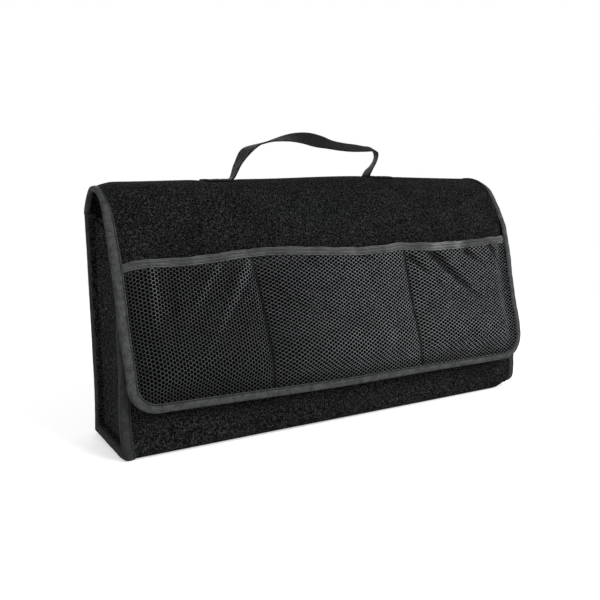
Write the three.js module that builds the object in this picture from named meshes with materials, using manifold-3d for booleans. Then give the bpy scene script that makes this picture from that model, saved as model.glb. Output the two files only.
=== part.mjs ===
// Car boot bag of needle felt. One folded sheet is the front, the bottom, the back and the lid flap.
// Two gussets close its ends, tape binds every cut edge, and a net on the flap makes three pockets.
// Millimetres. X runs across, the front faces -Y, Z is up, and the bag stands on its two floor strips.
import * as THREE from "three";
import { mergeVertices } from "three/addons/utils/BufferGeometryUtils.js";
import Module from "manifold-3d";

const wasm = await Module();
wasm.setup();

// Materials as bought
const feltThickness = 4;
const tapeThickness = 0.6;
const webbingThickness = 1.8;
const netThickness = 0.8;
const hookThickness = 2;
const threadThickness = 0.6;
const layerGap = 0.3; // air between two sewn layers

// The bag from the side, outer face of the felt
const bagWidth = 500; // over the bound side seams
const foldHeight = 226; // top of the back panel, where the lid starts
const frontDrop = 16.5; // the front panel's top edge is this far below the fold
const frontTopLeft = -2.5; // how far forward that edge lies at the left end
const frontTopRight = -18; // and at the right end, where the lid hangs fuller
const waistHeight = 164;
const waistLeft = -21.5;
const waistRight = -32;
const chestHeight = 113;
const chestLeft = -36.5;
const chestRight = -44.3;
const bellyHeight = 82;
const bellyReach = 50.5; // the front panel bulges this far forward
const shinHeight = 44;
const shinReach = 48.5;
const ankleHeight = 18;
const ankleReach = 45.5;
const heelFront = 38; // front corner of the bottom
const heelBack = 45; // back corner of the bottom
const hollowHeight = 48; // the back panel is drawn in a little here
const hollowReach = 41;
const backReach = 53; // the back panel at the fold
const waistRound = 20; // the felt turns over this length on each side of a bend
const chestRound = 14;
const bellyRound = 14;
const shinRound = 12;
const ankleRound = 8;
const heelFrontRound = 9;
const heelBackRound = 17;
const hollowRound = 20;

// The lid flap
const lidInset = 4.5; // the bound lid is this much narrower than the bag at each side
const crestRiseLeft = 27; // height of the lid over the fold, at the left end
const crestRiseRight = 30;
const crestBack = 54.6;
const crestFront = 24;
const shoulderLeft = 5; // the lid turns down here
const shoulderRight = -3;
const shoulderDrop = 12.5;
const crestBackRound = 13;
const crestFrontRound = 14;
const shoulderRound = 10;
const overhangRound = 14; // where the lid comes down over the front panel's top edge
const lidEase = 1.2; // room where the lid turns over the front panel's edges
const hemStandOff = 8; // the lower edge hangs clear of the front panel
const hemRadius = 28;
const foldGap = 0.3; // between the back panel and the lid, along the fold

// Bindings and seams
const finDepth = 10; // the side seams stand out this far from the gussets
const seamTape = 9; // tape on each side of a side seam
const hemTape = 10; // tape on each side of the flap's edge
const mouthTape = 8.5; // tape on each side of the pockets' top edge
const edgeTape = 8; // tape on the gussets' and the front panel's top edges
const gussetDip = 2; // the gussets end this far below the fold at the back
const gussetSlope = 0.22; // and fall towards the front
const gussetTapeFront = 3.8; // the gusset's top tape ends this far from the front panel's edge
const gussetTapeBack = 1.5; // and this far from the back panel's, past its own slope
const climbStart = 24; // the flap's tape starts to climb onto the net this far above the mouths
const climbEnd = 6; // and lies on top of it from here
const climbKeep = 30; // it clears the mouth tape down to this far below the mouths
const climbBack = 50; // and lies on the net alone from here

// Net pockets, measured along the flap from its lower edge
const mouthLeft = 143;
const mouthSeamLeft = 149;
const mouthSeamRight = 141;
const mouthRight = 143;
const mouthSags = [2.7, 4.8, 4.4]; // how far each pocket's mouth hangs down
const seamLeftFoot = -95;
const seamLeftLean = -8;
const seamRightFoot = 94.5;
const seamRightLean = -8;
const pocketDepth = 9; // the net stands off the flap
const netRise = 24; // it reaches that depth this far in from the flap's tape
const netSquareness = 5; // a higher power keeps a pocket deep closer to its seams
const netRidge = 0.7; // the strands stand up from the net
const netColumns = [18, 22, 18];
const netRows = 16;
const holeSpread = 0.62; // size of a hole in its mesh
const seamThread = 1.6;

// Handle
const handleWidth = 24;
const handleTab = 32;
const handleLeft = -95;
const handleRight = 83;
const handleRise = 50; // of the arch over the crest
const handleInset = 15; // centre line of the webbing, forward of the back panel
const stitchInset = 3;
const stitchFromEnd = 4; // from the end of the webbing to its stitches
const stitchFromArch = 8; // and from them to where the arch rises
const hugFrom = 0.5; // the webbing follows the lid's curve up to this height over the crest
const hugTo = 12; // and is straight across from here

// Hook strips
const floorStripWidth = 20;
const floorStripInset = 30; // from the bag's side to the end of a strip
const floorStripSpacing = 46;
const lidStripWidth = 20;
const lidStripLength = 90;
const lidStripInset = 95.5; // from the lid's side to the middle of a strip
const lidStripFromHem = 20;

// Facets
const acrossSteps = 12;
const bodySteps = 27;
const flapSteps = 24;
const flatStep = 25; // a facet spans up to this length where the felt is flat
const bendStep = 0.25; // or up to this angle, in radians, where it bends
const cornerSteps = 6;
const handleSteps = 46;
const handleAcross = 4;
const threadSteps = 8;
const stitchSteps = 5;
const lidStripSteps = 3;
const bendSamples = 600;
const crestSamples = 400;

const feltColour = 0x1b1b1d;
const tapeColour = 0x424446;
const mouthColour = 0x5c5e60;
const netColour = 0x3a3b3f;
const webbingColour = 0x1c1c1f;
const hookColour = 0x121214;

const feltFinish = new THREE.MeshStandardMaterial({ color: feltColour, roughness: 0.98, metalness: 0 });
const tapeFinish = new THREE.MeshStandardMaterial({ color: tapeColour, roughness: 0.85, metalness: 0 });
const mouthFinish = new THREE.MeshStandardMaterial({ color: mouthColour, roughness: 0.8, metalness: 0 });
const netFinish = new THREE.MeshStandardMaterial({ color: netColour, roughness: 0.7, metalness: 0 });
const webbingFinish = new THREE.MeshStandardMaterial({ color: webbingColour, roughness: 0.8, metalness: 0 });
const hookFinish = new THREE.MeshStandardMaterial({ color: hookColour, roughness: 0.6, metalness: 0 });

const tapeLayer = layerGap + tapeThickness;
const floorLevel = hookThickness + layerGap;
const bodyHalf = bagWidth / 2 - tapeLayer;
const flapHalf = bagWidth / 2 - lidInset - tapeLayer;
const lidGap = 2 * tapeLayer + 3 * layerGap; // both bindings fit between the front panel and the lid
const smooth = THREE.MathUtils.smoothstep;
const lerp = THREE.MathUtils.lerp;

// 0 at the left end of the bag and 1 at the right, level near both ends
function rightness(x) {
  return smooth(x, -bagWidth / 2, bagWidth / 2);
}

// Points of the folded sheet at one place along X: y, z and how much of each leg the rounding takes
function bodyPoints(x) {
  const t = rightness(x);
  return [
    [lerp(frontTopLeft, frontTopRight, t), foldHeight - frontDrop, 0],
    [lerp(waistLeft, waistRight, t), waistHeight, waistRound],
    [lerp(chestLeft, chestRight, t), chestHeight, chestRound],
    [-bellyReach, bellyHeight, bellyRound],
    [-shinReach, shinHeight, shinRound],
    [-ankleReach, ankleHeight, ankleRound],
    [-heelFront, floorLevel, heelFrontRound],
    [heelBack, floorLevel, heelBackRound],
    [hollowReach, hollowHeight, hollowRound],
    [backReach, foldHeight - foldGap / 2, 0],
  ];
}

// Moves the points of an outline outwards, each by its own distance
function outset(points, distances) {
  return points.map(([y, z, round], i) => {
    const before = points[Math.max(i - 1, 0)];
    const after = points[Math.min(i + 1, points.length - 1)];
    const along = new THREE.Vector2(after[0] - before[0], after[1] - before[1]).normalize();
    return [y + along.y * distances[i], z - along.x * distances[i], round];
  });
}

// The lid starts on the fold, turns over the crest and comes down on the front panel
function flapPoints(x) {
  const t = rightness(x);
  const crest = foldHeight + lerp(crestRiseLeft, crestRiseRight, t);
  const rest = feltThickness + lidGap;
  const rests = [rest + lidEase, rest, rest, rest + lidEase, rest + hemStandOff];
  const front = outset(bodyPoints(x).slice(0, 5), rests);
  return [
    [backReach, foldHeight + foldGap / 2, 0],
    [crestBack, crest, crestBackRound],
    [crestFront, crest, crestFrontRound],
    [lerp(shoulderLeft, shoulderRight, t), crest - shoulderDrop, shoulderRound],
    ...front.map(([y, z, round], i) => [y, z, i === 0 ? overhangRound : round]),
  ];
}

// A smooth line through an outline's corners, in the YZ plane
function roundedPath(points) {
  const path = new THREE.CurvePath();
  const corners = points.map(([y, z]) => new THREE.Vector2(y, z));
  let start = corners[0];
  for (let i = 1; i < corners.length - 1; i++) {
    const into = corners[i].clone().sub(corners[i - 1]).normalize();
    const out = corners[i + 1].clone().sub(corners[i]).normalize();
    const entry = corners[i].clone().addScaledVector(into, -points[i][2]);
    const exit = corners[i].clone().addScaledVector(out, points[i][2]);
    path.add(new THREE.LineCurve(start, entry));
    path.add(new THREE.QuadraticBezierCurve(entry, corners[i], exit));
    start = exit;
  }
  path.add(new THREE.LineCurve(start, corners.at(-1)));
  return path;
}

// A surface that runs across the bag: x, a length along it and a height over its outer face give a point
function surface(pointsAt) {
  const paths = new Map();
  const middle = roundedPath(pointsAt(0));
  const length = middle.getLength();
  function place(x, along, height) {
    const key = x.toFixed(4);
    if (!paths.has(key)) paths.set(key, roundedPath(pointsAt(x)));
    const t = THREE.MathUtils.clamp(along / length, 0, 1);
    const spot = paths.get(key).getPoint(t);
    const tangent = paths.get(key).getTangent(t);
    return new THREE.Vector3(x, spot.x + tangent.y * height, spot.y - tangent.x * height);
  }
  return { place, length, middle };
}

const body = surface(bodyPoints);
const flap = surface(flapPoints);

// Lengths along a surface, closer together where it bends
function bendStations(of, end, count) {
  const costs = [0];
  for (let i = 1; i <= bendSamples; i++) {
    const before = of.middle.getTangent(((i - 1) / bendSamples) * (end / of.length));
    const after = of.middle.getTangent((i / bendSamples) * (end / of.length));
    costs.push(costs[i - 1] + end / bendSamples / flatStep + Math.abs(before.angleTo(after)) / bendStep);
  }
  const stations = [];
  for (let k = 0; k < count; k++) {
    const wanted = (costs[bendSamples] * k) / count;
    stations.push((costs.findIndex((cost) => cost >= wanted) / bendSamples) * end);
  }
  return [...stations, end];
}

function evenly(from, to, steps) {
  return Array.from({ length: steps + 1 }, (_, i) => lerp(from, to, i / steps));
}

// Moves every point of a straight strip, given as a place across, a height and the number of its cut
function bend(strip, move) {
  const position = strip.getAttribute("position");
  for (let i = 0; i < position.count; i++) {
    const spot = move(position.getX(i), position.getY(i), Math.round(position.getZ(i)));
    position.setXYZ(i, spot.x, spot.y, spot.z);
  }
  return sealed(strip);
}

// A strip of the given section with a cut at every station, bent into place by move
function bentStrip(section, steps, move) {
  const outline = new THREE.Shape(section.map(([a, b]) => new THREE.Vector2(a, b)));
  return bend(new THREE.ExtrudeGeometry(outline, { depth: steps, steps, bevelEnabled: false }), move);
}

// A flat slab from -1 to 1 across, cut in both directions so that it can bend
function bentSlab(low, high, across, steps, move) {
  const slab = new THREE.BoxGeometry(2, high - low, steps, across, 1, steps);
  return bend(slab.translate(0, (low + high) / 2, steps / 2), move);
}

function sealed(geometry) {
  geometry.deleteAttribute("normal");
  geometry.deleteAttribute("uv");
  const merged = mergeVertices(geometry, 1e-4);
  merged.computeVertexNormals();
  return merged;
}

// Tape folded round an edge at 0 that holds layers from low to high, its legs reaching inwards
function tapeSection(low, high, leg) {
  return [
    [leg, high + tapeLayer],
    [-tapeLayer, high + tapeLayer],
    [-tapeLayer, low - tapeLayer],
    [leg, low - tapeLayer],
    [leg, low - layerGap],
    [-layerGap, low - layerGap],
    [-layerGap, high + layerGap],
    [leg, high + layerGap],
  ];
}

// Manifold-3d joins and cuts closed meshes
function solid(geometry) {
  const merged = sealed(geometry);
  const vertProperties = new Float32Array(merged.getAttribute("position").array);
  const triVerts = new Uint32Array(merged.index.array);
  return new wasm.Manifold(new wasm.Mesh({ numProp: 3, vertProperties, triVerts }));
}

function geometryOf(shape) {
  const mesh = shape.getMesh();
  const geometry = new THREE.BufferGeometry();
  geometry.setAttribute("position", new THREE.BufferAttribute(new Float32Array(mesh.vertProperties), 3));
  geometry.setIndex(new THREE.BufferAttribute(new Uint32Array(mesh.triVerts), 1));
  geometry.computeVertexNormals();
  return geometry;
}

function together(shapes) {
  return geometryOf(shapes.map(solid).reduce((all, one) => all.add(one)));
}

function piece(name, geometry, finish) {
  const mesh = new THREE.Mesh(geometry, finish);
  mesh.name = name;
  return mesh;
}

// Front, bottom and back of the bag in one piece of felt
const bodyStations = bendStations(body, body.length, bodySteps);

function bodyPanel() {
  return bentSlab(-feltThickness, 0, acrossSteps, bodySteps, (a, height, i) =>
    body.place(a * bodyHalf, bodyStations[i], height),
  );
}

// A gusset's edge is turned out and lies on the inside of the body panel, its web is set back
const gussetFace = -feltThickness - layerGap;
const flangeFace = gussetFace - feltThickness;

// Outline of the space inside the body panel, shrunk to a height, with its top edge from back to front
function gussetOutline(side, height, rise) {
  const spots = bodyStations.map((s) => body.place(side * bodyHalf, s, height));
  for (const [top, below] of [[spots[0], spots[1]], [spots.at(-1), spots.at(-2)]]) {
    const climb = top.z - below.z - gussetSlope * (top.y - below.y);
    const lift = (gussetTop(top.y) + rise - top.z) / climb;
    top.lerp(below, -lift);
  }
  return new THREE.Shape(cornersOnly(spots.map((spot) => new THREE.Vector2(spot.y, spot.z))));
}

// Leaves out the points that lie on the straight line between their neighbours
function cornersOnly(spots) {
  return spots.filter((spot, i) => {
    const into = spot.clone().sub(spots.at(i - 1)).normalize();
    const out = spots[(i + 1) % spots.length].clone().sub(spot).normalize();
    return Math.abs(into.cross(out)) > 1e-4;
  });
}

function gussetTop(y) {
  return foldHeight - gussetDip - (backReach - y) * gussetSlope;
}

// Extruded along X from one place to another
function plate(outline, from, to) {
  const extruded = new THREE.ExtrudeGeometry(outline, { depth: Math.abs(to - from), bevelEnabled: false });
  const turn = new THREE.Matrix4().makeBasis(
    new THREE.Vector3(0, 1, 0),
    new THREE.Vector3(0, 0, 1),
    new THREE.Vector3(1, 0, 0),
  );
  extruded.applyMatrix4(turn);
  extruded.translate(Math.min(from, to), 0, 0);
  return extruded;
}

function gusset(side) {
  const web = side * (bodyHalf - finDepth - feltThickness);
  const whole = solid(plate(gussetOutline(side, gussetFace, 0), side * bodyHalf, web));
  const pastTop = 30; // the cut runs out past the gusset's top edge and its outer face
  const pastFace = 1;
  const outline = gussetOutline(side, flangeFace, pastTop);
  const hollow = plate(outline, side * (bodyHalf + pastFace), side * (bodyHalf - finDepth));
  return geometryOf(whole.subtract(solid(hollow)));
}

// Tape round each side seam: it holds the body panel and the turned-out edge of the gusset
function seamBinding(side) {
  const section = tapeSection(flangeFace, 0, seamTape);
  return bentStrip(section, bodySteps, (inward, height, i) => {
    const at = side < 0 ? i : bodySteps - i;
    return body.place(side * (bodyHalf - inward), bodyStations[at], height);
  });
}

// Tape over the top edge of a gusset's web, between the turned-out edges
function gussetTopBinding(side) {
  const web = side * (bodyHalf - finDepth - feltThickness / 2);
  const topAt = (end, clear) => {
    const spot = body.place(web, end, flangeFace - clear);
    return new THREE.Vector3(web, spot.y, gussetTop(spot.y));
  };
  const from = topAt(0, gussetTapeFront);
  const to = topAt(body.length, edgeTape * gussetSlope + gussetTapeBack);
  const down = new THREE.Vector3(0, to.z - from.z, from.y - to.y).normalize();
  const section = tapeSection(-feltThickness / 2, feltThickness / 2, edgeTape);
  return bentStrip(section, 1, (inward, height, i) => {
    const spot = i ? to.clone() : from.clone();
    return spot.addScaledVector(down, inward).setX(web - height);
  });
}

// Tape over the top edge of the front panel, between the gussets
function frontTopBinding() {
  const half = bodyHalf - finDepth - feltThickness - layerGap;
  const places = evenly(-half, half, acrossSteps);
  const section = tapeSection(-feltThickness, 0, edgeTape).map(([a, b]) => [-a, b]);
  return bentStrip(section, acrossSteps, (outward, height, i) => {
    const spot = body.place(places[i], Math.max(-outward, 0), height);
    const edge = body.place(places[i], 1, height).sub(body.place(places[i], 0, height));
    return spot.addScaledVector(edge, Math.min(-outward, 0));
  });
}

// The lid: rows follow its rounded lower corners
const cornerAngles = evenly(0, Math.PI / 2, cornerSteps).slice(1);
const hemStart = flap.length - hemRadius;
const sideStations = bendStations(flap, hemStart, flapSteps);
const flapRows = [
  ...sideStations.map((s) => [s, flapHalf]),
  ...cornerAngles.map((a) => [
    hemStart + hemRadius * Math.sin(a),
    flapHalf - hemRadius * (1 - Math.cos(a)),
  ]),
];

function flapPanel() {
  return bentSlab(-feltThickness, 0, acrossSteps, flapRows.length - 1, (a, height, i) =>
    flap.place(a * flapRows[i][1], flapRows[i][0], height),
  );
}

// How far the net lifts what lies over it, at a length along the flap
const netRest = 2 * layerGap; // the net's inner face over the felt where it is sewn down
const netLayer = netRest + netThickness;
const mouthStart = flap.length - Math.max(mouthSeamLeft, mouthSeamRight, mouthLeft, mouthRight);

function overNet(along) {
  const onto = smooth(along, mouthStart - climbStart, mouthStart - climbEnd);
  const off = 1 - smooth(along, mouthStart + climbKeep, mouthStart + climbBack);
  return onto * (netLayer + tapeLayer * off);
}

// Tape round the flap's free edge, from the fold down one side, along the hem and up the other side
function flapBinding() {
  const inner = flapHalf - hemRadius;
  const left = sideStations.map((s) => [-flapHalf, s, 1, 0]);
  const corner = (side) =>
    cornerAngles.slice(0, -1).map((a) => [
      side * (inner + hemRadius * Math.cos(a)),
      hemStart + hemRadius * Math.sin(a),
      -side * Math.cos(a),
      -Math.sin(a),
    ]);
  const hem = evenly(-inner, inner, acrossSteps).map((x) => [x, flap.length, 0, -1]);
  const right = sideStations.map((s) => [flapHalf, s, -1, 0]).reverse();
  const route = [...left, ...corner(-1), ...hem, ...corner(1).reverse(), ...right];
  return bentStrip(tapeSection(-feltThickness, 0, hemTape), route.length - 1, (inward, height, i) => {
    const [x, s, inX, inS] = route[i];
    const along = s + inS * inward;
    const lift = height > 0 ? overNet(along) : 0;
    const spot = flap.place(x + inX * inward, Math.min(along, flap.length), height + lift);
    const beyond = Math.max(along - flap.length, 0);
    const last = flap.place(x, flap.length, height + lift).sub(flap.place(x, flap.length - 1, height + lift));
    return spot.addScaledVector(last, beyond);
  });
}

// The net's seams and edges in pattern space: v is 0 at the hem and 1 at the mouth
const netFoot = hemTape / 2; // tucked this far from the flap's edge, under its tape
const netFlat = 5; // the net lies flat this far out from the tape
const netHalf = flapHalf - netFoot;
const tapedFrom = 0.85; // share of the net's height where it starts to make room for the mouth tape
const tapedTo = 0.95;

// Distance from a place on the flap to its edge, given across and up from the hem
function fromEdge(across, up) {
  const past = Math.abs(across) - (flapHalf - hemRadius);
  const side = flapHalf - Math.abs(across);
  if (past < 0 || up > hemRadius) return Math.min(side, up);
  return hemRadius - Math.hypot(past, hemRadius - up);
}

// Lower edge of the net, which follows the flap's rounded corners
function footLine(across) {
  const past = Math.max(Math.abs(across) - (flapHalf - hemRadius), 0);
  return hemRadius - Math.sqrt(Math.max((hemRadius - netFoot) ** 2 - past ** 2, 0));
}

function seamLines(v) {
  return [
    -netHalf,
    seamLeftFoot + seamLeftLean * v ** 3,
    seamRightFoot + seamRightLean * Math.sin((v * Math.PI) / 2),
    netHalf,
  ];
}

function mouthLine(pocket, u) {
  const corners = [mouthLeft, mouthSeamLeft, mouthSeamRight, mouthRight];
  return lerp(corners[pocket], corners[pocket + 1], u) - mouthSags[pocket] * Math.sin(Math.PI * u);
}

// Where the net lies: across a pocket by u, up it by v, and how far its inner face stands off the flap
function netPlace(pocket, u, v) {
  const lines = seamLines(v);
  const across = lerp(lines[pocket], lines[pocket + 1], u);
  const up = lerp(footLine(across), mouthLine(pocket, u) - tapeLayer, v);
  return { across, up };
}

// A pocket is flat-bottomed across, rises fast from the hem and keeps its depth up to the mouth
function standOff(pocket, u, v) {
  const { across, up } = netPlace(pocket, u, v);
  const border = fromEdge(across, up) - hemTape;
  const free = smooth(border, netFlat, netRise);
  const wide = 1 - Math.abs(2 * u - 1) ** netSquareness;
  const underTape = tapeLayer * smooth(v, tapedFrom, tapedTo);
  return netRest + underTape + pocketDepth * free * wide;
}

function netSpot(pocket, u, v, extra) {
  const { across, up } = netPlace(pocket, u, v);
  return flap.place(across, flap.length - up, standOff(pocket, u, v) + extra);
}

// Net: crossings of the strands stand up, the meshes between them sink, and some are open
function meshPocketPanel() {
  const columns = netColumns.reduce((sum, n) => sum + n, 0);
  const where = [];
  netColumns.forEach((n, pocket) => {
    for (let i = 0; i < n; i++) where.push([pocket, i / n]);
  });
  where.push([netColumns.length - 1, 1]);
  const points = [];
  const faces = [];
  const put = (spot) => points.push(spot.x, spot.y, spot.z) / 3 - 1;
  const isSeam = (i) => where[i][1] === 0 || where[i][1] === 1;
  const crossing = (i, j) => (i + j) % 2 === 0;
  const inRows = (j) => j > 1 && j < netRows - 1 && j % 4 === 1;
  const isOpen = (i, j) => !crossing(i, j) && !isSeam(i) && inRows(j) && i % 2 === 0;
  const at = (i, j, outer) => {
    const { across, up } = netPlace(...where[i], j / netRows);
    const flat = isSeam(i) || j > netRows - 2 || fromEdge(across, up) < hemTape + netFlat || !crossing(i, j);
    return netSpot(...where[i], j / netRows, outer ? netThickness + (flat ? 0 : netRidge) : 0);
  };
  const grid = [false, true].map((outer) =>
    where.map((_, i) => evenly(0, netRows, netRows).map((j) => put(at(i, j, outer)))),
  );
  const sides = [[1, 0], [0, 1], [-1, 0], [0, -1]];
  const rim = new Map();
  // The four corners of a hole, towards the crossings round it
  const holeRim = (i, j) => {
    const key = `${i} ${j}`;
    if (!rim.has(key)) {
      rim.set(key, [false, true].map((outer) =>
        sides.map(([a, b]) => put(at(i, j, outer).lerp(at(i + a, j + b, outer), holeSpread))),
      ));
    }
    return rim.get(key);
  };
  const face = (outer, a, b, c) => faces.push(...(outer ? [a, b, c] : [a, c, b]));
  // Half a cell: two crossings and the mesh between them, which may be open
  const half = (outer, first, second, mesh) => {
    const layer = grid[outer ? 1 : 0];
    const a = layer[first[0]][first[1]];
    const b = layer[second[0]][second[1]];
    if (!isOpen(...mesh)) {
      face(outer, a, b, layer[mesh[0]][mesh[1]]);
      return;
    }
    const ring = holeRim(...mesh)[outer ? 1 : 0];
    const corner = ([i, j]) =>
      ring[sides.findIndex(([x, y]) => mesh[0] + x === i && mesh[1] + y === j)];
    face(outer, a, b, corner(second));
    face(outer, a, corner(second), corner(first));
  };
  for (let i = 0; i < columns; i++) {
    for (let j = 0; j < netRows; j++) {
      const [low, right, high, left] = [[i, j], [i + 1, j], [i + 1, j + 1], [i, j + 1]];
      for (const outer of [false, true]) {
        if (crossing(i, j)) {
          half(outer, high, low, right);
          half(outer, low, high, left);
        } else {
          half(outer, right, left, low);
          half(outer, left, right, high);
        }
      }
    }
  }
  for (const [inner, outer] of rim.values()) {
    for (let k = 0; k < 4; k++) {
      const next = (k + 1) % 4;
      faces.push(outer[k], outer[next], inner[next], outer[k], inner[next], inner[k]);
    }
  }
  const [inner, outer] = grid;
  const edge = (i, j, k, l) =>
    faces.push(inner[i][j], inner[k][l], outer[k][l], inner[i][j], outer[k][l], outer[i][j]);
  for (let i = 0; i < columns; i++) {
    edge(i, 0, i + 1, 0);
    edge(i + 1, netRows, i, netRows);
  }
  for (let j = 0; j < netRows; j++) {
    edge(0, j + 1, 0, j);
    edge(columns, j, columns, j + 1);
  }
  const net = new THREE.BufferGeometry();
  net.setAttribute("position", new THREE.Float32BufferAttribute(points, 3));
  net.setIndex(faces);
  net.computeVertexNormals();
  return net;
}

// Tape folded over the net's top edge, from one side binding to the other
function pocketTopBinding() {
  const spots = [];
  const clear = hemTape + 2 * layerGap;
  netColumns.forEach((n, pocket) => {
    const lines = seamLines(1);
    const trim = (x) => THREE.MathUtils.clamp(x, -flapHalf + clear, flapHalf - clear);
    for (let i = pocket ? 1 : 0; i <= n; i += 1) {
      const across = trim(lerp(lines[pocket], lines[pocket + 1], i / n));
      const u = (across - lines[pocket]) / (lines[pocket + 1] - lines[pocket]);
      if (!spots.length || across > spots.at(-1).across) spots.push({ pocket, u, across });
    }
  });
  const section = tapeSection(0, netThickness, mouthTape).map(([a, b]) => [-a, b]);
  return bentStrip(section, spots.length - 1, (outward, height, i) => {
    const { pocket, u } = spots[i];
    const top = netPlace(pocket, u, 1).up;
    const v = Math.min(1 + outward / (top - netFoot), 1);
    const { across } = netPlace(pocket, u, v);
    return flap.place(across, flap.length - top - outward, standOff(pocket, u, v) + height);
  });
}

// Row of thread that closes the net down on the flap between two pockets
function pocketSeam(pocket) {
  const from = hemTape + layerGap;
  const to = mouthLine(pocket, 1) - tapeLayer - mouthTape - 2 * layerGap;
  const half = seamThread / 2;
  const section = [[-half, 0], [half, 0], [half, threadThickness], [-half, threadThickness]];
  return bentStrip(section, threadSteps, (a, height, i) => {
    const up = lerp(to, from, i / threadSteps);
    const v = (up - netFoot) / (mouthLine(pocket, 1) - tapeLayer - netFoot);
    const across = seamLines(v)[pocket + 1];
    const lift = standOff(pocket, 1, v) + netThickness + 3 * layerGap;
    return flap.place(across + a, flap.length - up, lift + height);
  });
}

// Handle: webbing sewn flat on the crest at both ends, arched and slightly twisted between them.
// It lies where the lid, followed up from the fold, first comes this far forward.
function crestLength() {
  const spots = evenly(0, flap.length, crestSamples).map((s) => [s, flap.place(0, s, 0)]);
  return spots.find(([, spot]) => spot.y < backReach - handleInset)[0];
}

const handleAlong = crestLength();
const tabRest = 3 * layerGap; // under the webbing where it bends over the crest

function onCrest(x, width) {
  return flap.place(x, handleAlong - width, tabRest + webbingThickness / 2);
}

// Each point of the arch: its place along X, its share of the rise and its twist in degrees
function handleRoute() {
  const base = (x) => onCrest(x, 0);
  const above = (x, part, twist) => {
    const y = onCrest(x, 0).y;
    const z = foldHeight + lerp(crestRiseLeft, crestRiseRight, 0.5) + handleRise * part;
    return Object.assign(new THREE.Vector3(x, y, z), { twist });
  };
  const tab = (x) => Object.assign(base(x), { twist: 0 });
  return [
    tab(handleLeft - handleTab),
    tab(handleLeft - handleTab / 2),
    tab(handleLeft - 4),
    above(handleLeft + 3.5, 0.13, 0),
    above(handleLeft + 10, 0.38, -4),
    above(handleLeft + 20, 0.7, -8),
    above(handleLeft + 36, 0.85, -8),
    above(handleLeft + 55, 0.95, 8),
    above(handleLeft + 89, 1, 24),
    above(handleLeft + 121, 0.91, 22),
    above(handleLeft + 155, 0.79, 14),
    above(handleRight + 7, 0.73, 2),
    above(handleRight + 15, 0.7, 0),
    above(handleRight + 18, 0.6, 0),
    above(handleRight + 14, 0.45, 0),
    above(handleRight + 5, 0.25, 0),
    above(handleRight, 0.12, 0),
    tab(handleRight + 4.5),
    tab(handleRight + handleTab / 2),
    tab(handleRight + handleTab),
  ];
}

function handleStrap() {
  const route = handleRoute();
  const line = new THREE.CatmullRomCurve3(route, false, "centripetal");
  return bentSlab(-webbingThickness / 2, webbingThickness / 2, handleAcross, handleSteps, (a, height, i) => {
    const t = i / handleSteps;
    const spot = line.getPoint(t);
    const tangent = line.getTangent(t);
    const index = Math.min(Math.floor(t * (route.length - 1)), route.length - 2);
    const twist = lerp(route[index].twist, route[index + 1].twist, t * (route.length - 1) - index);
    const wide = new THREE.Vector3(0, 1, 0).applyAxisAngle(tangent, THREE.MathUtils.degToRad(twist));
    const thick = tangent.clone().cross(wide).normalize();
    const reach = (a * handleWidth) / 2;
    // On the crest the webbing bends over the lid's curve
    const crest = onCrest(spot.x, 0);
    const hugging = 1 - smooth(spot.z - crest.z, hugFrom, hugTo);
    const bend = onCrest(spot.x, reach).sub(crest).sub(new THREE.Vector3(0, reach, 0));
    return spot.addScaledVector(wide, reach).addScaledVector(thick, height).addScaledVector(bend, hugging);
  });
}

// Box of stitches that holds one end of the handle down
function handleStitching(from, to) {
  const wide = handleWidth / 2 - stitchInset;
  const half = seamThread / 2;
  const low = tabRest + webbingThickness + layerGap;
  const onTab = (x, width, height) => flap.place(x, handleAlong - width, height);
  const section = [[-half, low], [half, low], [half, low + threadThickness], [-half, low + threadThickness]];
  const rows = [-wide, wide].map((width) =>
    bentStrip(section, stitchSteps, (a, height, i) =>
      onTab(lerp(from, to, i / stitchSteps), width + a, height),
    ),
  );
  const ends = [from + half, to - half].map((x) =>
    bentStrip(section, stitchSteps, (a, height, i) =>
      onTab(x + a, lerp(wide + half, -wide - half, i / stitchSteps), height),
    ),
  );
  return together([...rows, ...ends]);
}

// Hook strips: two under the bottom grip the boot carpet, two inside the lid grip the front panel
function floorStrip(y) {
  const length = bagWidth - 2 * floorStripInset;
  const strip = new THREE.BoxGeometry(length, floorStripWidth, hookThickness);
  return strip.translate(0, y, hookThickness / 2);
}

function lidStrip(x) {
  const top = -feltThickness - 2.5 * layerGap;
  const end = flap.length - lidStripFromHem;
  const rows = evenly(end - lidStripWidth, end, lidStripSteps);
  return bentSlab(top - hookThickness, top, lidStripSteps, lidStripSteps, (a, height, i) =>
    flap.place(x + (a * lidStripLength) / 2, rows[i], height),
  );
}

const floorMiddle = (heelBack - heelFront) / 2;
const bag = new THREE.Group();
bag.add(
  piece("body_panel", bodyPanel(), feltFinish),
  piece("gusset_left", gusset(-1), feltFinish),
  piece("gusset_right", gusset(1), feltFinish),
  piece("seam_binding_left", seamBinding(-1), tapeFinish),
  piece("seam_binding_right", seamBinding(1), tapeFinish),
  piece("gusset_top_binding_left", gussetTopBinding(-1), tapeFinish),
  piece("gusset_top_binding_right", gussetTopBinding(1), tapeFinish),
  piece("front_top_binding", frontTopBinding(), tapeFinish),
  piece("floor_hook_strip_front", floorStrip(floorMiddle - floorStripSpacing / 2), hookFinish),
  piece("floor_hook_strip_back", floorStrip(floorMiddle + floorStripSpacing / 2), hookFinish),
);

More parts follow.
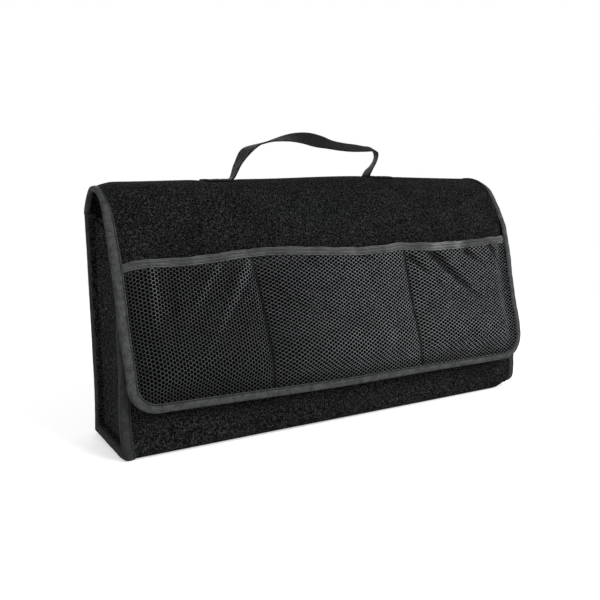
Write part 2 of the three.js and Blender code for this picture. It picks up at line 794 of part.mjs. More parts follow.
const lidStripPlace = bagWidth / 2 - lidInset - lidStripInset;
const leftStitches = [handleLeft - handleTab + stitchFromEnd, handleLeft - stitchFromArch];
const rightStitches = [handleRight + stitchFromArch, handleRight + handleTab - stitchFromEnd];
const lid = new THREE.Group();
lid.add(
  piece("flap_panel", flapPanel(), feltFinish),
  piece("flap_binding", flapBinding(), tapeFinish),
  piece("mesh_pocket_panel", meshPocketPanel(), netFinish),
  piece("pocket_top_binding", pocketTopBinding(), mouthFinish),
  piece("pocket_seam_left", pocketSeam(0), tapeFinish),
  piece("pocket_seam_right", pocketSeam(1), tapeFinish),
  piece("handle_strap", handleStrap(), webbingFinish),
  piece("handle_stitching_left", handleStitching(...leftStitches), webbingFinish),
  piece("handle_stitching_right", handleStitching(...rightStitches), webbingFinish),
  piece("flap_hook_strip_left", lidStrip(-lidStripPlace), hookFinish),
  piece("flap_hook_strip_right", lidStrip(lidStripPlace), hookFinish),
);

// The frame's origin is under the middle of the whole bag, handle and lid included
const organizer = new THREE.Group();
organizer.add(bag, lid);
const footprint = new THREE.Box3().setFromObject(organizer).getCenter(new THREE.Vector3());
organizer.position.set(-footprint.x, -footprint.y, 0);

export default organizer;
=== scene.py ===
# %% [markdown]
# A felt bag for a car boot, closed and empty. One folded sheet of needle felt is its front, bottom,
# back and lid. Woven tape binds every cut edge, a net on the lid makes three pockets, and a webbing
# handle is sewn to the crest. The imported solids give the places; here each soft piece is made again
# as a fine mesh from the same outline, so that cloth looks like cloth. All sizes are in metres.
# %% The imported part
import math
import bmesh
import bpy
import numpy as np
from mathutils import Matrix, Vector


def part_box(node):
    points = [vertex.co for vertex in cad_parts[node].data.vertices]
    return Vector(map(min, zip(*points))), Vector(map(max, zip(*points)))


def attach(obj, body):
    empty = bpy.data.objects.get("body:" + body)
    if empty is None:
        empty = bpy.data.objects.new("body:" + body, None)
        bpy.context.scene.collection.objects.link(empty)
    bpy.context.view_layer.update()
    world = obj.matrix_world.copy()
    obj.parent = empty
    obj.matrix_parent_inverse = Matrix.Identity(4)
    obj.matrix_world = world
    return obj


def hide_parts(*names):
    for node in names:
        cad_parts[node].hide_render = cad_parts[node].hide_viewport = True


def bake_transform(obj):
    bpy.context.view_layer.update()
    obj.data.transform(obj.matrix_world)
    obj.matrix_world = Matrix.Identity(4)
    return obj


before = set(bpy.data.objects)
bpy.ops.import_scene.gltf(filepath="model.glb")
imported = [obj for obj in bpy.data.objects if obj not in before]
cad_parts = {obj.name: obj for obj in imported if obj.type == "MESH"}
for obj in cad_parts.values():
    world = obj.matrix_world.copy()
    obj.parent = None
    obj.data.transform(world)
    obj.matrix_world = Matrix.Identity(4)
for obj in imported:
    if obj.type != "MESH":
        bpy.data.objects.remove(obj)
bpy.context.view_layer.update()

MM = 0.001
SEED = 7

# %% [markdown]
# The bag is drawn from the side, as a pattern maker would: a few corners, each rounded by a curve,
# change from the left end of the bag to the right. A lattice of points could hold the same shape, but
# an outline keeps every layer (felt, tape, net) at a true distance from the one below it.
# %% Sizes of the bag, as in the solids
FELT = 4 * MM
TAPE = 0.6 * MM
WEBBING = 1.8 * MM
LAYER_GAP = 0.3 * MM
BAG_HALF = 249.1 * MM
LID_HALF = 244.6 * MM
BAG_WIDTH = 500 * MM
FOLD_HEIGHT = 226 * MM
FOLD_BACK = 53 * MM
HOOK_HEIGHT = 2.3 * MM
LID_GAP = 2.7 * MM
LID_EASE = 1.2 * MM
HEM_STAND_OFF = 8 * MM
HEM_RADIUS = 28 * MM
HEEL_FRONT = 38 * MM
HEEL_BACK = 45 * MM
HEEL_SPREAD = 12 * MM
HEEL_HEIGHT = 1.4 * MM
CREST_CROWN = 5.8 * MM
STRIP_SPACING = 46 * MM
DRAWN_IN = 10 * MM
FLOOR_MIDDLE = 262 * MM
SIDES = ((-1, "left"), (1, "right"))

strip_low, strip_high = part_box("floor_hook_strip_front")
SHIFT = (strip_low.y + strip_high.y) / 2 - (HEEL_BACK - HEEL_FRONT) / 2 + STRIP_SPACING / 2
print("the outline moves", round(SHIFT / MM, 3), "mm along Y to the solids' place")


# %% The outline at each place across the bag
def smooth(value, low, high):
    """0 below low, 1 above high, level at both ends."""
    t = np.clip((np.asarray(value, float) - low) / (high - low), 0, 1)
    return t * t * (3 - 2 * t)


def between(left, right, x):
    """A size that changes from the left end of the bag to the right end."""
    t = smooth(x, -BAG_WIDTH / 2, BAG_WIDTH / 2)
    return (left + (right - left) * t) * MM


def bell(off, wide, power=2):
    """1 in the middle of a mark, falling to 0 at each side of it."""
    return np.exp(-(np.abs(off / wide) ** power))


def unit(ways):
    """The same directions, each made 1 long."""
    return ways / np.linalg.norm(ways, axis=-1, keepdims=True)


def lengths_along(points):
    """How far along a line each of its points is."""
    return np.concatenate([[0], np.cumsum(np.linalg.norm(np.diff(points, axis=0), axis=1))])


def evenly(points, count):
    """count points at even distances along a line, and how far along it each one is."""
    steps = lengths_along(points[:, :3])
    wanted = np.linspace(0, steps[-1], count)
    return np.stack([np.interp(wanted, steps, column) for column in points.T], axis=1), wanted


def bag_corners(x):
    """The folded sheet from the front's top edge down, under and up the back: y, z, rounding."""
    turned_up = 10 * MM * smooth(x, 220 * MM, BAG_HALF)
    return np.array([
        [between(-2.5, -18, x), 209.5 * MM, 0],
        [between(-21.5, -32, x), 164 * MM, 20 * MM],
        [between(-36.5, -44.3, x), 113 * MM, 14 * MM],
        [-50.5 * MM, 82 * MM, 14 * MM],
        [-48.5 * MM, 44 * MM, 12 * MM],
        [-50 * MM, 18 * MM, 8 * MM],
        [-HEEL_FRONT - HEEL_SPREAD, HEEL_HEIGHT + turned_up, 4 * MM + turned_up * 0.6],
        [-HEEL_FRONT + 7 * MM, HOOK_HEIGHT, 5 * MM],
        [HEEL_BACK - 7 * MM, HOOK_HEIGHT, 2 * MM],
        [HEEL_BACK + 2 * MM, HEEL_HEIGHT, 5 * MM],
        [42 * MM, 48 * MM, 20 * MM],
        [FOLD_BACK, FOLD_HEIGHT, 0],
    ])


def moved_out(corners, distances):
    """An outline's corners, each moved outwards by its own distance."""
    spots = np.pad(corners[:, :2], ((1, 1), (0, 0)), mode="edge")
    along = unit(spots[2:] - spots[:-2])
    out = corners.copy()
    out[:, 0] += along[:, 1] * distances
    out[:, 1] -= along[:, 0] * distances
    return out


def lid_corners(x):
    """The lid from the fold, over the crest and down over the front panel."""
    crown = smooth(x, -BAG_HALF, -BAG_HALF + 26 * MM) * (1 - smooth(x, 60 * MM, BAG_HALF))
    crest = between(253, 256, x) + CREST_CROWN * crown
    rest = FELT + LID_GAP
    rests = np.array([rest + LID_EASE, rest, rest, rest + LID_EASE, rest + HEM_STAND_OFF])
    front = moved_out(bag_corners(x)[:5], rests)
    front[0, 2] = 14 * MM
    front[-1, :2] += (front[-2, :2] - front[-1, :2]) * 0.12 * (1 - smooth(x, -BAG_HALF, 0))
    front[-2:, 0] -= 3 * MM * smooth(x, 60 * MM, BAG_HALF)
    top = np.array([
        [FOLD_BACK, FOLD_HEIGHT, 0],
        [54.6 * MM, crest, 13 * MM],
        [24 * MM, crest, 14 * MM],
        [between(5, -3, x), crest - 12.5 * MM, 10 * MM],
    ])
    return np.vstack([top, front])


def rounded_line(corners, count):
    """count points along an outline whose corners are rounded, and its length."""
    points = [corners[0, :2]]
    share = np.linspace(0, 1, 17)[:, None]
    for before, corner, after in zip(corners[:-2], corners[1:-1], corners[2:]):
        spot = corner[:2]
        back = before[:2] - spot
        ahead = after[:2] - spot
        round_by = min(corner[2], 0.48 * np.linalg.norm(back), 0.48 * np.linalg.norm(ahead))
        entry = spot + unit(back) * round_by
        leave = spot + unit(ahead) * round_by
        points.extend((1 - share) ** 2 * entry + 2 * share * (1 - share) * spot + share**2 * leave)
    points.append(corners[-1, :2])
    line, lengths = evenly(np.array(points), count)
    return line, lengths[-1]


# %% A surface that every layer is measured from
class Surface:
    """The felt's outer face. A place across, a length along and a height over it give a point."""

    COLUMNS, ROWS = 61, 900

    def __init__(self, corners_at, ripple):
        places = np.linspace(-BAG_WIDTH / 2, BAG_WIDTH / 2, self.COLUMNS)
        self.line = np.array([rounded_line(corners_at(x), self.ROWS)[0] for x in places])
        self.slope = unit(np.gradient(self.line, axis=1))
        self.length = rounded_line(corners_at(0.0), self.ROWS)[1]
        self.ripple = ripple

    def read(self, table, x, along):
        """The table's value between its columns and rows."""
        c = (x + BAG_WIDTH / 2) / BAG_WIDTH * (self.COLUMNS - 1)
        r = np.clip(along / self.length, 0, 1) * (self.ROWS - 1)
        c0 = np.clip(c.astype(int), 0, self.COLUMNS - 2)
        r0 = np.clip(r.astype(int), 0, self.ROWS - 2)
        fc, fr = (c - c0)[..., None], (r - r0)[..., None]
        near = table[c0, r0] * (1 - fr) + table[c0, r0 + 1] * fr
        far = table[c0 + 1, r0] * (1 - fr) + table[c0 + 1, r0 + 1] * fr
        return near * (1 - fc) + far * fc

    def place(self, x, along, height):
        x, along, height = np.broadcast_arrays(*(np.asarray(v, float) for v in (x, along, height)))
        spot = self.read(self.line, x, along)
        slope = unit(self.read(self.slope, x, along))
        beyond = along - np.clip(along, 0, self.length)
        lift = height + self.ripple(x, along)
        y = spot[..., 0] + slope[..., 0] * beyond + slope[..., 1] * lift
        z = spot[..., 1] + slope[..., 1] * beyond - slope[..., 0] * lift
        return np.stack([x, y + SHIFT, z], axis=-1)


def bag_ripple(x, along):
    """Felt that stands by itself is never quite flat."""
    wave = np.sin(x * 17 + 1.3) * np.sin(along * 23 + 0.4) + 0.6 * np.sin(x * 41 + along * 19)
    off_floor = smooth(np.abs(along - FLOOR_MIDDLE), 48 * MM, 80 * MM)
    top = smooth(along, 0, 60 * MM)
    return 0.5 * MM * wave * off_floor * top * smooth(bag_length - along, 0, 60 * MM)


# The felt is pressed in where the handle's ends are sewn down
TAB_PLACES = (-112 * MM, 100 * MM)
TAB_ALONG = 45 * MM


def lid_ripple(x, along):
    wave = np.sin(x * 19 + 0.6) * np.sin(along * 16 + 2.2) + 0.5 * np.sin(x * 37 - along * 21 + 1)
    pressed_in = sum(bell(x - spot, 21 * MM, 4) for spot in TAB_PLACES)
    pressed_in = pressed_in * bell(along - TAB_ALONG, 17 * MM, 4)
    return 0.6 * MM * wave * smooth(along, 0, 40 * MM) - 1.7 * MM * pressed_in


def bag_half(along):
    """The bag's sides draw in towards the front panel's top corners and a little at its heel."""
    heel = 3 * MM * bell(along - 212 * MM, 10 * MM)
    return BAG_HALF - DRAWN_IN * (1 - smooth(along, 20 * MM, 165 * MM)) - heel


bag_length = rounded_line(bag_corners(0.0), 400)[1]
bag = Surface(bag_corners, bag_ripple)
lid = Surface(lid_corners, lid_ripple)
print("sheet:", round(bag.length / MM), "mm round the bag and", round(lid.length / MM), "mm of lid")


# %% [markdown]
# Shader maths reads best as arithmetic. Wire stands for one socket of a material and takes part in
# sums and products; each sum adds its Math node. Everything else comes from one method, add, which
# sets a node's own settings before its sockets.
# %% Shader maths
class Wire:
    """The value on one socket of a finish."""

    def __init__(self, finish, socket):
        self.finish = finish
        self.socket = socket

    def math(self, operation, *values):
        return self.finish.add("ShaderNodeMath", {"operation": operation}, values)

    def __add__(self, other):
        return self.math("ADD", self, other)

    def __mul__(self, other):
        return self.math("MULTIPLY", self, other)

    __radd__, __rmul__ = __add__, __mul__

    def __sub__(self, other):
        return self.math("SUBTRACT", self, other)

    def __rsub__(self, other):
        return self.math("SUBTRACT", other, self)

    def size(self):
        return self.math("ABSOLUTE", self)

    def wave(self, pitch):
        """0 to 1 and back, once in each pitch."""
        return self.math("SINE", self * (2 * math.pi / pitch)) * 0.5 + 0.5

    def above(self, low, high):
        """0 below low and 1 above high."""
        settings = {"interpolation_type": "SMOOTHSTEP"}
        return self.finish.add("ShaderNodeMapRange", settings, (self, low, high))


class Finish:
    """One material. What is the same all over the surface sits on the shader's own sockets."""

    def __init__(self, name, **constants):
        self.material = bpy.data.materials.new(name)
        self.material.use_nodes = True
        self.tree = self.material.node_tree
        self.shader = self.tree.nodes["Principled BSDF"]
        for socket, value in constants.items():
            self.shader.inputs[socket.replace("_", " ")].default_value = value

    def add(self, kind, settings=None, values=(), out=0, **named):
        node = self.tree.nodes.new(kind)
        for name, value in (settings or {}).items():
            setattr(node, name, value)
        by_name = [(node.inputs[key], value) for key, value in named.items()]
        for socket, value in [*zip(node.inputs, values), *by_name]:
            self.feed(socket, value)
        return Wire(self, node.outputs[out])

    def feed(self, socket, value):
        if isinstance(value, Wire):
            self.tree.links.new(value.socket, socket)
        else:
            socket.default_value = value

    def mix(self, share, first, second):
        """A colour between two others."""
        mixed = self.add("ShaderNodeMix", {"data_type": "RGBA"}, (share,), out=2)
        for number, colour in ((6, first), (7, second)):
            self.feed(mixed.socket.node.inputs[number], colour)
        return mixed

    def spot(self):
        """The place on the piece, in metres."""
        return self.add("ShaderNodeTexCoord", out=3)

    def split(self, wire):
        """The first two numbers of a place or of a chart."""
        first = self.add("ShaderNodeSeparateXYZ", None, (wire,))
        return first, Wire(self, first.socket.node.outputs[1])

    def along(self, chart_name="lengths"):
        """Lengths across and along a tape or strap, in metres."""
        return self.split(self.add("ShaderNodeUVMap", {"uv_map": chart_name}))

    def noise(self, spot, scale, detail=2.0, rough=0.5):
        sockets = {"Vector": spot, "Scale": scale, "Detail": detail, "Roughness": rough}
        return self.add("ShaderNodeTexNoise", None, **sockets)

    def done(self, colour, rough, height, depth, strength=1.0):
        """The finished material. Its bumps are as high as height says, and depth at most."""
        normal = self.add("ShaderNodeBump", None, Height=height, Distance=depth, Strength=strength)
        for name, wire in (("Base Color", colour), ("Roughness", rough), ("Normal", normal)):
            self.feed(self.shader.inputs[name], wire)
        return self.material


def grey(level, blue=0):
    """A colour as it looks on a screen, 0 to 255, turned into the light that it reflects."""
    def channel(value):
        share = value / 255
        return share / 12.92 if share <= 0.04045 else ((share + 0.055) / 1.055) ** 2.4
    return (channel(level), channel(level + blue / 2), channel(level + blue), 1)


# %% [markdown]
# Needle felt is a mat of crimped black fibres. Seen close it is a field of tiny tufts, some of which
# catch the light, so its colour is speckled and its surface is rough at two scales. Hair would show
# that too, but at a hundred thousand fibres it still looks thin; noise in colour and bump holds up.
# %% Felt
def felt_finish(name, pale, under_net=None):
    """under_net is where the net's cover starts and ends along the lid: the felt there gets painted
    shade.
    """
    felt = Finish(name, Specular_IOR_Level=0.04)
    spot = felt.spot()
    tufts = felt.noise(spot, 620, 3, 0.7)
    fibres = felt.noise(spot, 1700, 2, 0.6)
    worn = felt.noise(spot, 28, 2)
    mound = tufts * 0.55 + fibres * 0.45
    light = mound.above(0.46, 0.7) * (worn * 0.8 + 0.5)
    if under_net:
        across, length = felt.along()
        start, end = under_net
        # Painted shade: the felt's specks fade where the net covers the lid.
        cover = length.above(start, start + 4 * MM) * (1 - length.above(end, end + 2 * MM))
        cover = cover * (1 - across.above(0.4, 0.6))
        light = light * (1 - cover * 0.93)
    return felt.done(felt.mix(light, grey(4, 1), grey(pale, 2)), mound * 0.1 + 0.88, mound, 2.6 * MM)


FELT_LOOK = felt_finish("black_needle_felt", 88)
# The gussets' felt is the same felt with paler specks: painted light on the bag's shaded sides.
GUSSET_LOOK = felt_finish("black_needle_felt_side_painted_light", 118)
LID_LOOK = felt_finish("black_needle_felt_lid", 84, (lid.length - 139 * MM, lid.length))
print("felt:", len(LID_LOOK.node_tree.nodes), "nodes")


# %% [markdown]
# The binding is a ribbed polyester tape folded over the edge. Its threads run along it and across it
# at about half a millimetre, which gives it a fine grain and a slight sheen.
# %% Tape, mouth tape, thread, net, webbing and hook tape
def woven_finish(name, dark, pale, pitch, depth, blue=0, sewn_at=None):
    """A plain weave: threads over and under each other at the given pitch. sewn_at names the line,
    from the tape's inner edge, along which it is sewn: that dip gets a painted shade."""
    tape = Finish(name, Specular_IOR_Level=0.12)
    across, length = tape.along()
    warp, weft = across.wave(pitch), length.wave(pitch)
    weave = warp * weft + (1 - warp) * (1 - weft)
    blotch = tape.noise(tape.spot(), 160, 3)
    fuzz = tape.noise(tape.spot(), 1100, 2, 0.7)
    share = weave * 0.3 + blotch * 0.35 + fuzz * 0.6
    shade = share.above(0.44, 0.8)
    if sewn_at:
        # Painted shade in the dip along the stitch line.
        dip = (across - sewn_at).size().above(0.3 * MM, 1.3 * MM)
        shade = shade * (dip * 0.75 + 0.25)
    colour = tape.mix(shade, grey(dark, blue), grey(pale, blue))
    return tape.done(colour, weave * 0.15 + 0.62, weave * 0.6 + fuzz * 0.6, depth)


def ribbed_finish():
    """The mouth tape: lengthwise ribs, lighter where the yarn lies flat, with painted shade along its
    fold and painted sheen where it bulges.
    """
    tape = Finish("mid_grey_mouth_tape", Specular_IOR_Level=0.25)
    across, length = tape.along()
    ribs, threads = across.wave(1.5 * MM), length.wave(0.6 * MM)
    blotch = tape.noise(tape.spot(), 42, 3, 0.6)
    fuzz = tape.noise(tape.spot(), 900, 2, 0.7)
    share = ribs * 0.4 + blotch * 1.3 + fuzz * 0.4 - 0.6
    # Painted shade: a dark line along the tape's fold.
    fold = (across - 5.2 * MM).size().above(0.2 * MM, 0.8 * MM)
    share = share.above(0.1, 0.9) * (fold * 0.6 + 0.4)
    # Painted sheen on two stretches of the right pocket's tape, where it bulges towards the light.
    bulge_sheen = length.above(116 * MM, 124 * MM) * (1 - length.above(158 * MM, 166 * MM))
    tip_sheen = length.above(218 * MM, 224 * MM)
    share = share * (bulge_sheen * 0.54 + tip_sheen * 0.5 + 0.35)
    height = ribs * 0.8 + threads * 0.15 + fuzz * 0.3
    return tape.done(tape.mix(share, grey(34, 2), grey(150, 2)), 0.7 - ribs * 0.15, height, 0.35 * MM)


def net_finish():
    """Shiny multifilament yarn, with a painted highlight on the joints' tops, where it stands up, and
    the painted light and shade of the second chart.
    """
    net = Finish("net_yarn", Specular_IOR_Level=0.2)
    spot = net.spot()
    twist = net.noise(spot, 1800, 2, 0.6)
    patch = net.noise(spot, 45, 2)
    # The chart holds a painted highlight on the joints' tops and painted light and shade over the net.
    joint, painted_brightness = net.along("shades")
    share = joint * 0.62 + twist * 0.3 + patch * 0.3 - 0.14
    colour = net.mix(share * painted_brightness, grey(8, 2), grey(170, 6))
    return net.done(colour, 0.55 - twist * 0.15, twist, 0.15 * MM, 0.7)


def hook_finish():
    """Stiff plastic hooks in rows."""
    hooks = Finish("black_hook_tape", Specular_IOR_Level=0.4)
    x, y = hooks.split(hooks.spot())
    rows = x.wave(1.4 * MM) * y.wave(1.4 * MM)
    return hooks.done(hooks.mix(rows, grey(8), grey(34)), 0.6 - rows * 0.2, rows, 0.8 * MM)


TAPE_LOOK = woven_finish("dark_grey_binding_tape", 25, 86, 0.9 * MM, 0.2 * MM, 2, 1.6 * MM)
# The seam tape is the binding tape made darker: painted shade on the side seams and the tops under the
# lid.
SEAM_LOOK = woven_finish("dark_grey_seam_tape_painted_shade", 24, 62, 0.9 * MM, 0.2 * MM, 2, 1.6 * MM)
WEBBING_LOOK = woven_finish("black_webbing", 9, 27, 1.6 * MM, 0.35 * MM, 2)
THREAD_LOOK = woven_finish("black_thread", 10, 30, 0.5 * MM, 0.1 * MM, 1)
MOUTH_LOOK = ribbed_finish()
NET_LOOK = net_finish()
HOOK_LOOK = hook_finish()
print("finishes:", len(bpy.data.materials))


# %% [markdown]
# Two small builders make every mesh: a grid of points becomes a patch of quads, and a closed section
# carried from station to station becomes a tube. Both carry a chart of real lengths for the weave.
# %% Mesh builders
def add_chart(mesh, name, chart):
    """Two numbers at every point, for the finish to read."""
    corners = np.zeros(len(mesh.loops), np.int32)
    mesh.loops.foreach_get("vertex_index", corners)
    values = np.asarray(chart, np.float32).reshape(-1, 2)[corners]
    mesh.uv_layers.new(name=name).uv.foreach_set("vector", values.ravel())


def make_piece(name, points, faces, chart, look, body, sharp=50):
    mesh = bpy.data.meshes.new(name)
    mesh.from_pydata(np.asarray(points).reshape(-1, 3), [], faces)
    add_chart(mesh, "lengths", chart)
    work = bmesh.new()
    work.from_mesh(mesh)
    bmesh.ops.recalc_face_normals(work, faces=work.faces)
    work.to_mesh(mesh)
    work.free()
    mesh.shade_smooth()
    mesh.set_sharp_from_angle(angle=math.radians(sharp))
    mesh.materials.append(look)
    piece = bpy.data.objects.new(name, mesh)
    bpy.context.scene.collection.objects.link(piece)
    if body:
        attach(piece, body)
    print(f"{name}: {sum(len(p.vertices) - 2 for p in mesh.polygons)} triangles")
    return piece


def grid_faces(rows, columns, start=0, closed=False):
    """Quads over a grid of points, row by row. A closed grid joins its last column to its first."""
    r, c = np.meshgrid(np.arange(rows - 1), np.arange(columns - (0 if closed else 1)), indexing="ij")
    here, after = r * columns, (c + 1) % columns
    quads = np.stack([here + c, here + after, here + columns + after, here + columns + c], -1)
    return (quads.reshape(-1, 4) + start).tolist()


def slab(outer, inner):
    """Two grids of the same size, closed by a rim: points and faces."""
    rows, columns = outer.shape[:2]
    faces = grid_faces(rows, columns) + grid_faces(rows, columns, rows * columns)
    ring = [(0, c) for c in range(columns)] + [(r, columns - 1) for r in range(1, rows)]
    ring += [(rows - 1, c) for c in range(columns - 2, -1, -1)]
    ring += [(r, 0) for r in range(rows - 2, 0, -1)]
    edge = [r * columns + c for r, c in ring]
    for a, b in zip(edge, edge[1:] + edge[:1]):
        faces.append([a, b, b + rows * columns, a + rows * columns])
    return np.concatenate([outer.reshape(-1, 3), inner.reshape(-1, 3)]), faces


def tube(sections):
    """Closed sections, one for each station, with a fan at both ends: points and faces."""
    stations, count = sections.shape[:2]
    faces = grid_faces(stations, count, closed=True)
    last = (stations - 1) * count
    faces.append(list(range(count)))
    faces.append(list(range(last + count - 1, last - 1, -1)))
    return sections.reshape(-1, 3), faces


# %% [markdown]
# The sheet of felt is one piece on the real bag. Here it parts a little below the fold, out of sight
# at rest: below that it belongs to the bag, and above it to the lid.
# %% The felt of the bag
FOLD_OVERLAP = 22 * MM
STEP = 3.2 * MM
BOUND = 9 * MM


def pressed(from_side):
    """How far the tape presses the felt's faces in, near a bound edge."""
    return 0.9 * MM * (1 - smooth(from_side, 0, BOUND))


def felt_patch(surface, lengths, halves):
    """Outer and inner faces of felt over a patch of a surface, thinner where tape holds its edge."""
    across = np.linspace(-1, 1, int(2 * BAG_HALF / STEP))
    x = np.outer(halves, across)
    along = np.repeat(lengths[:, None], len(across), axis=1)
    press = pressed(np.outer(halves, 1 - np.abs(across)))
    chart = np.stack([x, along], -1)
    return surface.place(x, along, -press), surface.place(x, along, -FELT + press), chart


def bag_felt():
    lengths = np.linspace(0, bag.length - FOLD_OVERLAP, int(bag.length / STEP))
    outer, inner, chart = felt_patch(bag, lengths, bag_half(lengths))
    points, faces = slab(outer, inner)
    piece = make_piece("bag_felt", points, faces, [chart, chart], FELT_LOOK, "bag")
    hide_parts("body_panel")


bag_felt()


# %% The felt of the lid, with the top of the back panel
def lid_half(along):
    """The lid is as wide as the bag at the fold and a little narrower from the crest on."""
    wide = BAG_HALF + (LID_HALF - BAG_HALF) * smooth(along, 0, 30 * MM)
    past = np.clip(along - (lid.length - HEM_RADIUS), 0, HEM_RADIUS)
    return wide - HEM_RADIUS + np.sqrt(HEM_RADIUS**2 - past**2)


def bends_at_fold(piece):
    """The piece is taken off its parent, with its place baked into its points."""
    piece.parent = None
    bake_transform(piece)


def lid_felt():
    back = np.linspace(bag.length - FOLD_OVERLAP, bag.length, 12)[:-1]
    start = lid.length - HEM_RADIUS
    bend = HEM_RADIUS * np.cos(np.linspace(math.pi / 2, 0, 14)[1:])
    front = np.concatenate([np.linspace(0, start, int(lid.length / STEP)), start + bend])
    below = felt_patch(bag, back, np.full(len(back), BAG_HALF))
    above = felt_patch(lid, front, lid_half(front))
    outer, inner, chart = (np.concatenate([a, b]) for a, b in zip(below, above))
    points, faces = slab(outer, inner)
    inner_chart = chart + (1.0, 0)  # a metre to the side, so the finish can tell the faces apart
    piece = make_piece("lid_felt", points, faces, [chart, inner_chart], LID_LOOK, None)
    bends_at_fold(piece)
    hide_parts("flap_panel")


lid_felt()


# %% [markdown]
# Each gusset is a panel of the same felt, set back from the edge. Its rim is turned out and sewn into
# the side seam, which then stands out as a fin. Its face is a patch stretched between the front, the
# bottom, the back and a straight top edge; the rim continues that patch round a soft bend.
# %% Gussets
FIN_DEPTH = 10 * MM
RIM_HEIGHT = -FELT - LAYER_GAP
WEB_HEIGHT = RIM_HEIGHT - FELT


def gusset_top(y):
    """Height of a gusset's top edge, which falls towards the front."""
    return FOLD_HEIGHT - 2 * MM - (FOLD_BACK + SHIFT - y) * 0.22


def gusset_ends(half):
    """The lengths along the bag at which a gusset starts at the front and ends at the back."""
    lengths = np.linspace(0, bag.length, 2000)
    spots = bag.place(half, lengths, WEB_HEIGHT)
    inside = spots[:, 2] < gusset_top(spots[:, 1])
    return lengths[inside][0], lengths[inside][-1]


def gusset(side, name):
    start, end = gusset_ends(side * BAG_HALF)
    bottom_front, bottom_back = bag.length * 0.395, bag.length * 0.575
    rows, columns = 70, 40
    share, width = np.linspace(0, 1, rows), np.linspace(0, 1, columns)
    down = start + (bottom_front - start) * share
    level = bottom_front + (bottom_back - bottom_front) * width
    rise = end + (bottom_back - end) * share
    runs = (down, level, rise)
    front, under, back = (bag.place(side * bag_half(run), run, WEB_HEIGHT) for run in runs)
    top = front[0] + (back[0] - front[0]) * width[:, None]
    s, w = share[:, None, None], width[None, :, None]
    sides = front[:, None] * (1 - w) + back[:, None] * w
    ends = top[None] * (1 - s) + under[None] * s
    corners = (1 - s) * ((1 - w) * front[0] + w * back[0]) + s * ((1 - w) * front[-1] + w * back[-1])
    web = sides + ends - corners
    inward = np.sin(math.pi * share)[:, None] * np.sin(math.pi * width)[None]
    crease = np.sin(math.pi * width * 2 + 0.6)[None] * np.sin(math.pi * share)[:, None]
    web[..., 0] -= side * (FIN_DEPTH + 2.5 * MM * inward - 1.5 * MM * crease)
    # The rim runs down the front, under and up the back, and turns outwards round a soft bend
    route = np.concatenate([down, level[1:-1], rise[::-1]])
    turn = np.linspace(0, math.pi / 2, 6)[1:]
    soft = 2.5 * MM
    flat = FIN_DEPTH - soft
    rim_in = np.concatenate([flat + soft * np.cos(turn), np.linspace(flat, 1 * MM, 5)[1:]])
    rim_up = np.concatenate([soft * np.sin(turn), np.full(4, soft)])
    rim = np.stack([
        bag.place(side * (bag_half(route) - inside), route, WEB_HEIGHT + up - soft * 0.6)
        for inside, up in zip(rim_in, rim_up)
    ])
    points = np.concatenate([web.reshape(-1, 3), rim.reshape(-1, 3)])
    faces = grid_faces(rows, columns)
    first = [r * columns for r in range(rows)]
    first += [(rows - 1) * columns + c for c in range(1, columns - 1)]
    first += [r * columns + columns - 1 for r in range(rows - 1, -1, -1)]
    base = rows * columns
    faces += [[a, b, base + k + 1, base + k] for k, (a, b) in enumerate(zip(first, first[1:]))]
    faces += grid_faces(len(rim), len(route), base)
    piece = make_piece(name + "_felt", points, faces, points[:, 1:], GUSSET_LOOK, "bag")
    thicken = piece.modifiers.new("felt", "SOLIDIFY")
    thicken.thickness = FELT
    thicken.offset = -1
    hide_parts(name)


for side, word in SIDES:
    gusset(side, f"gusset_{word}")


# %% [markdown]
# Binding tape is folded round an edge and sewn through both legs. Its section is a hairpin: two legs
# that press on the felt and a soft nose round the edge. The legs dip where the stitches pull them in,
# and the nose puckers a little from stitch to stitch.
# %% Tape folded round an edge
def hairpin(low, high, leg):
    """The section of a folded tape: lengths in from the edge, heights and lengths along the tape."""
    middle, half = (low + high) / 2, (high - low) / 2 + LAYER_GAP
    nose = 1.8 * MM
    across = np.linspace(leg, nose, 9)
    pull = 0.35 * MM * bell(across - leg + 2 * MM, 0.9 * MM)
    puff = 0.3 * MM * np.sin(math.pi * (across - nose) / (leg - nose))
    turn = np.linspace(math.pi / 2, -math.pi / 2, 9)[1:-1]
    upper = np.stack([across, middle + half - pull + puff], 1)
    round_it = np.stack([nose - (nose + TAPE) * np.cos(turn), middle + half * np.sin(turn)], 1)
    lower = upper[::-1] * [1, -1] + [0, 2 * middle]
    centre = np.concatenate([upper, round_it, lower])
    slope = unit(np.gradient(centre, axis=0))
    out = np.stack([-slope[:, 1], slope[:, 0]], 1) * TAPE / 2
    loop = np.concatenate([centre - out, (centre + out)[::-1]])
    steps = lengths_along(centre)
    return loop, np.concatenate([steps, steps[::-1]])


def folded_tape(name, low, high, leg, lengths, move, look, body):
    """A tape along a route. move takes lengths in from the edge, heights and the station's number."""
    loop, across = hairpin(low, high, leg)
    side = np.sign(loop[:, 1] - (low + high) / 2)
    sections = []
    for k, length in enumerate(lengths):
        pucker = 0.12 * MM * (math.sin(length / (2.1 * MM)) + 0.8 * math.sin(length / (6.7 * MM)))
        height = loop[:, 1] + pucker * side * np.exp(-loop[:, 0] / (5 * MM))
        sections.append(move(loop[:, 0], height, k))
    points, faces = tube(np.array(sections))
    chart = [[(a, length) for a in across] for length in lengths]
    return make_piece(name, points, faces, chart, look, body, sharp=70)


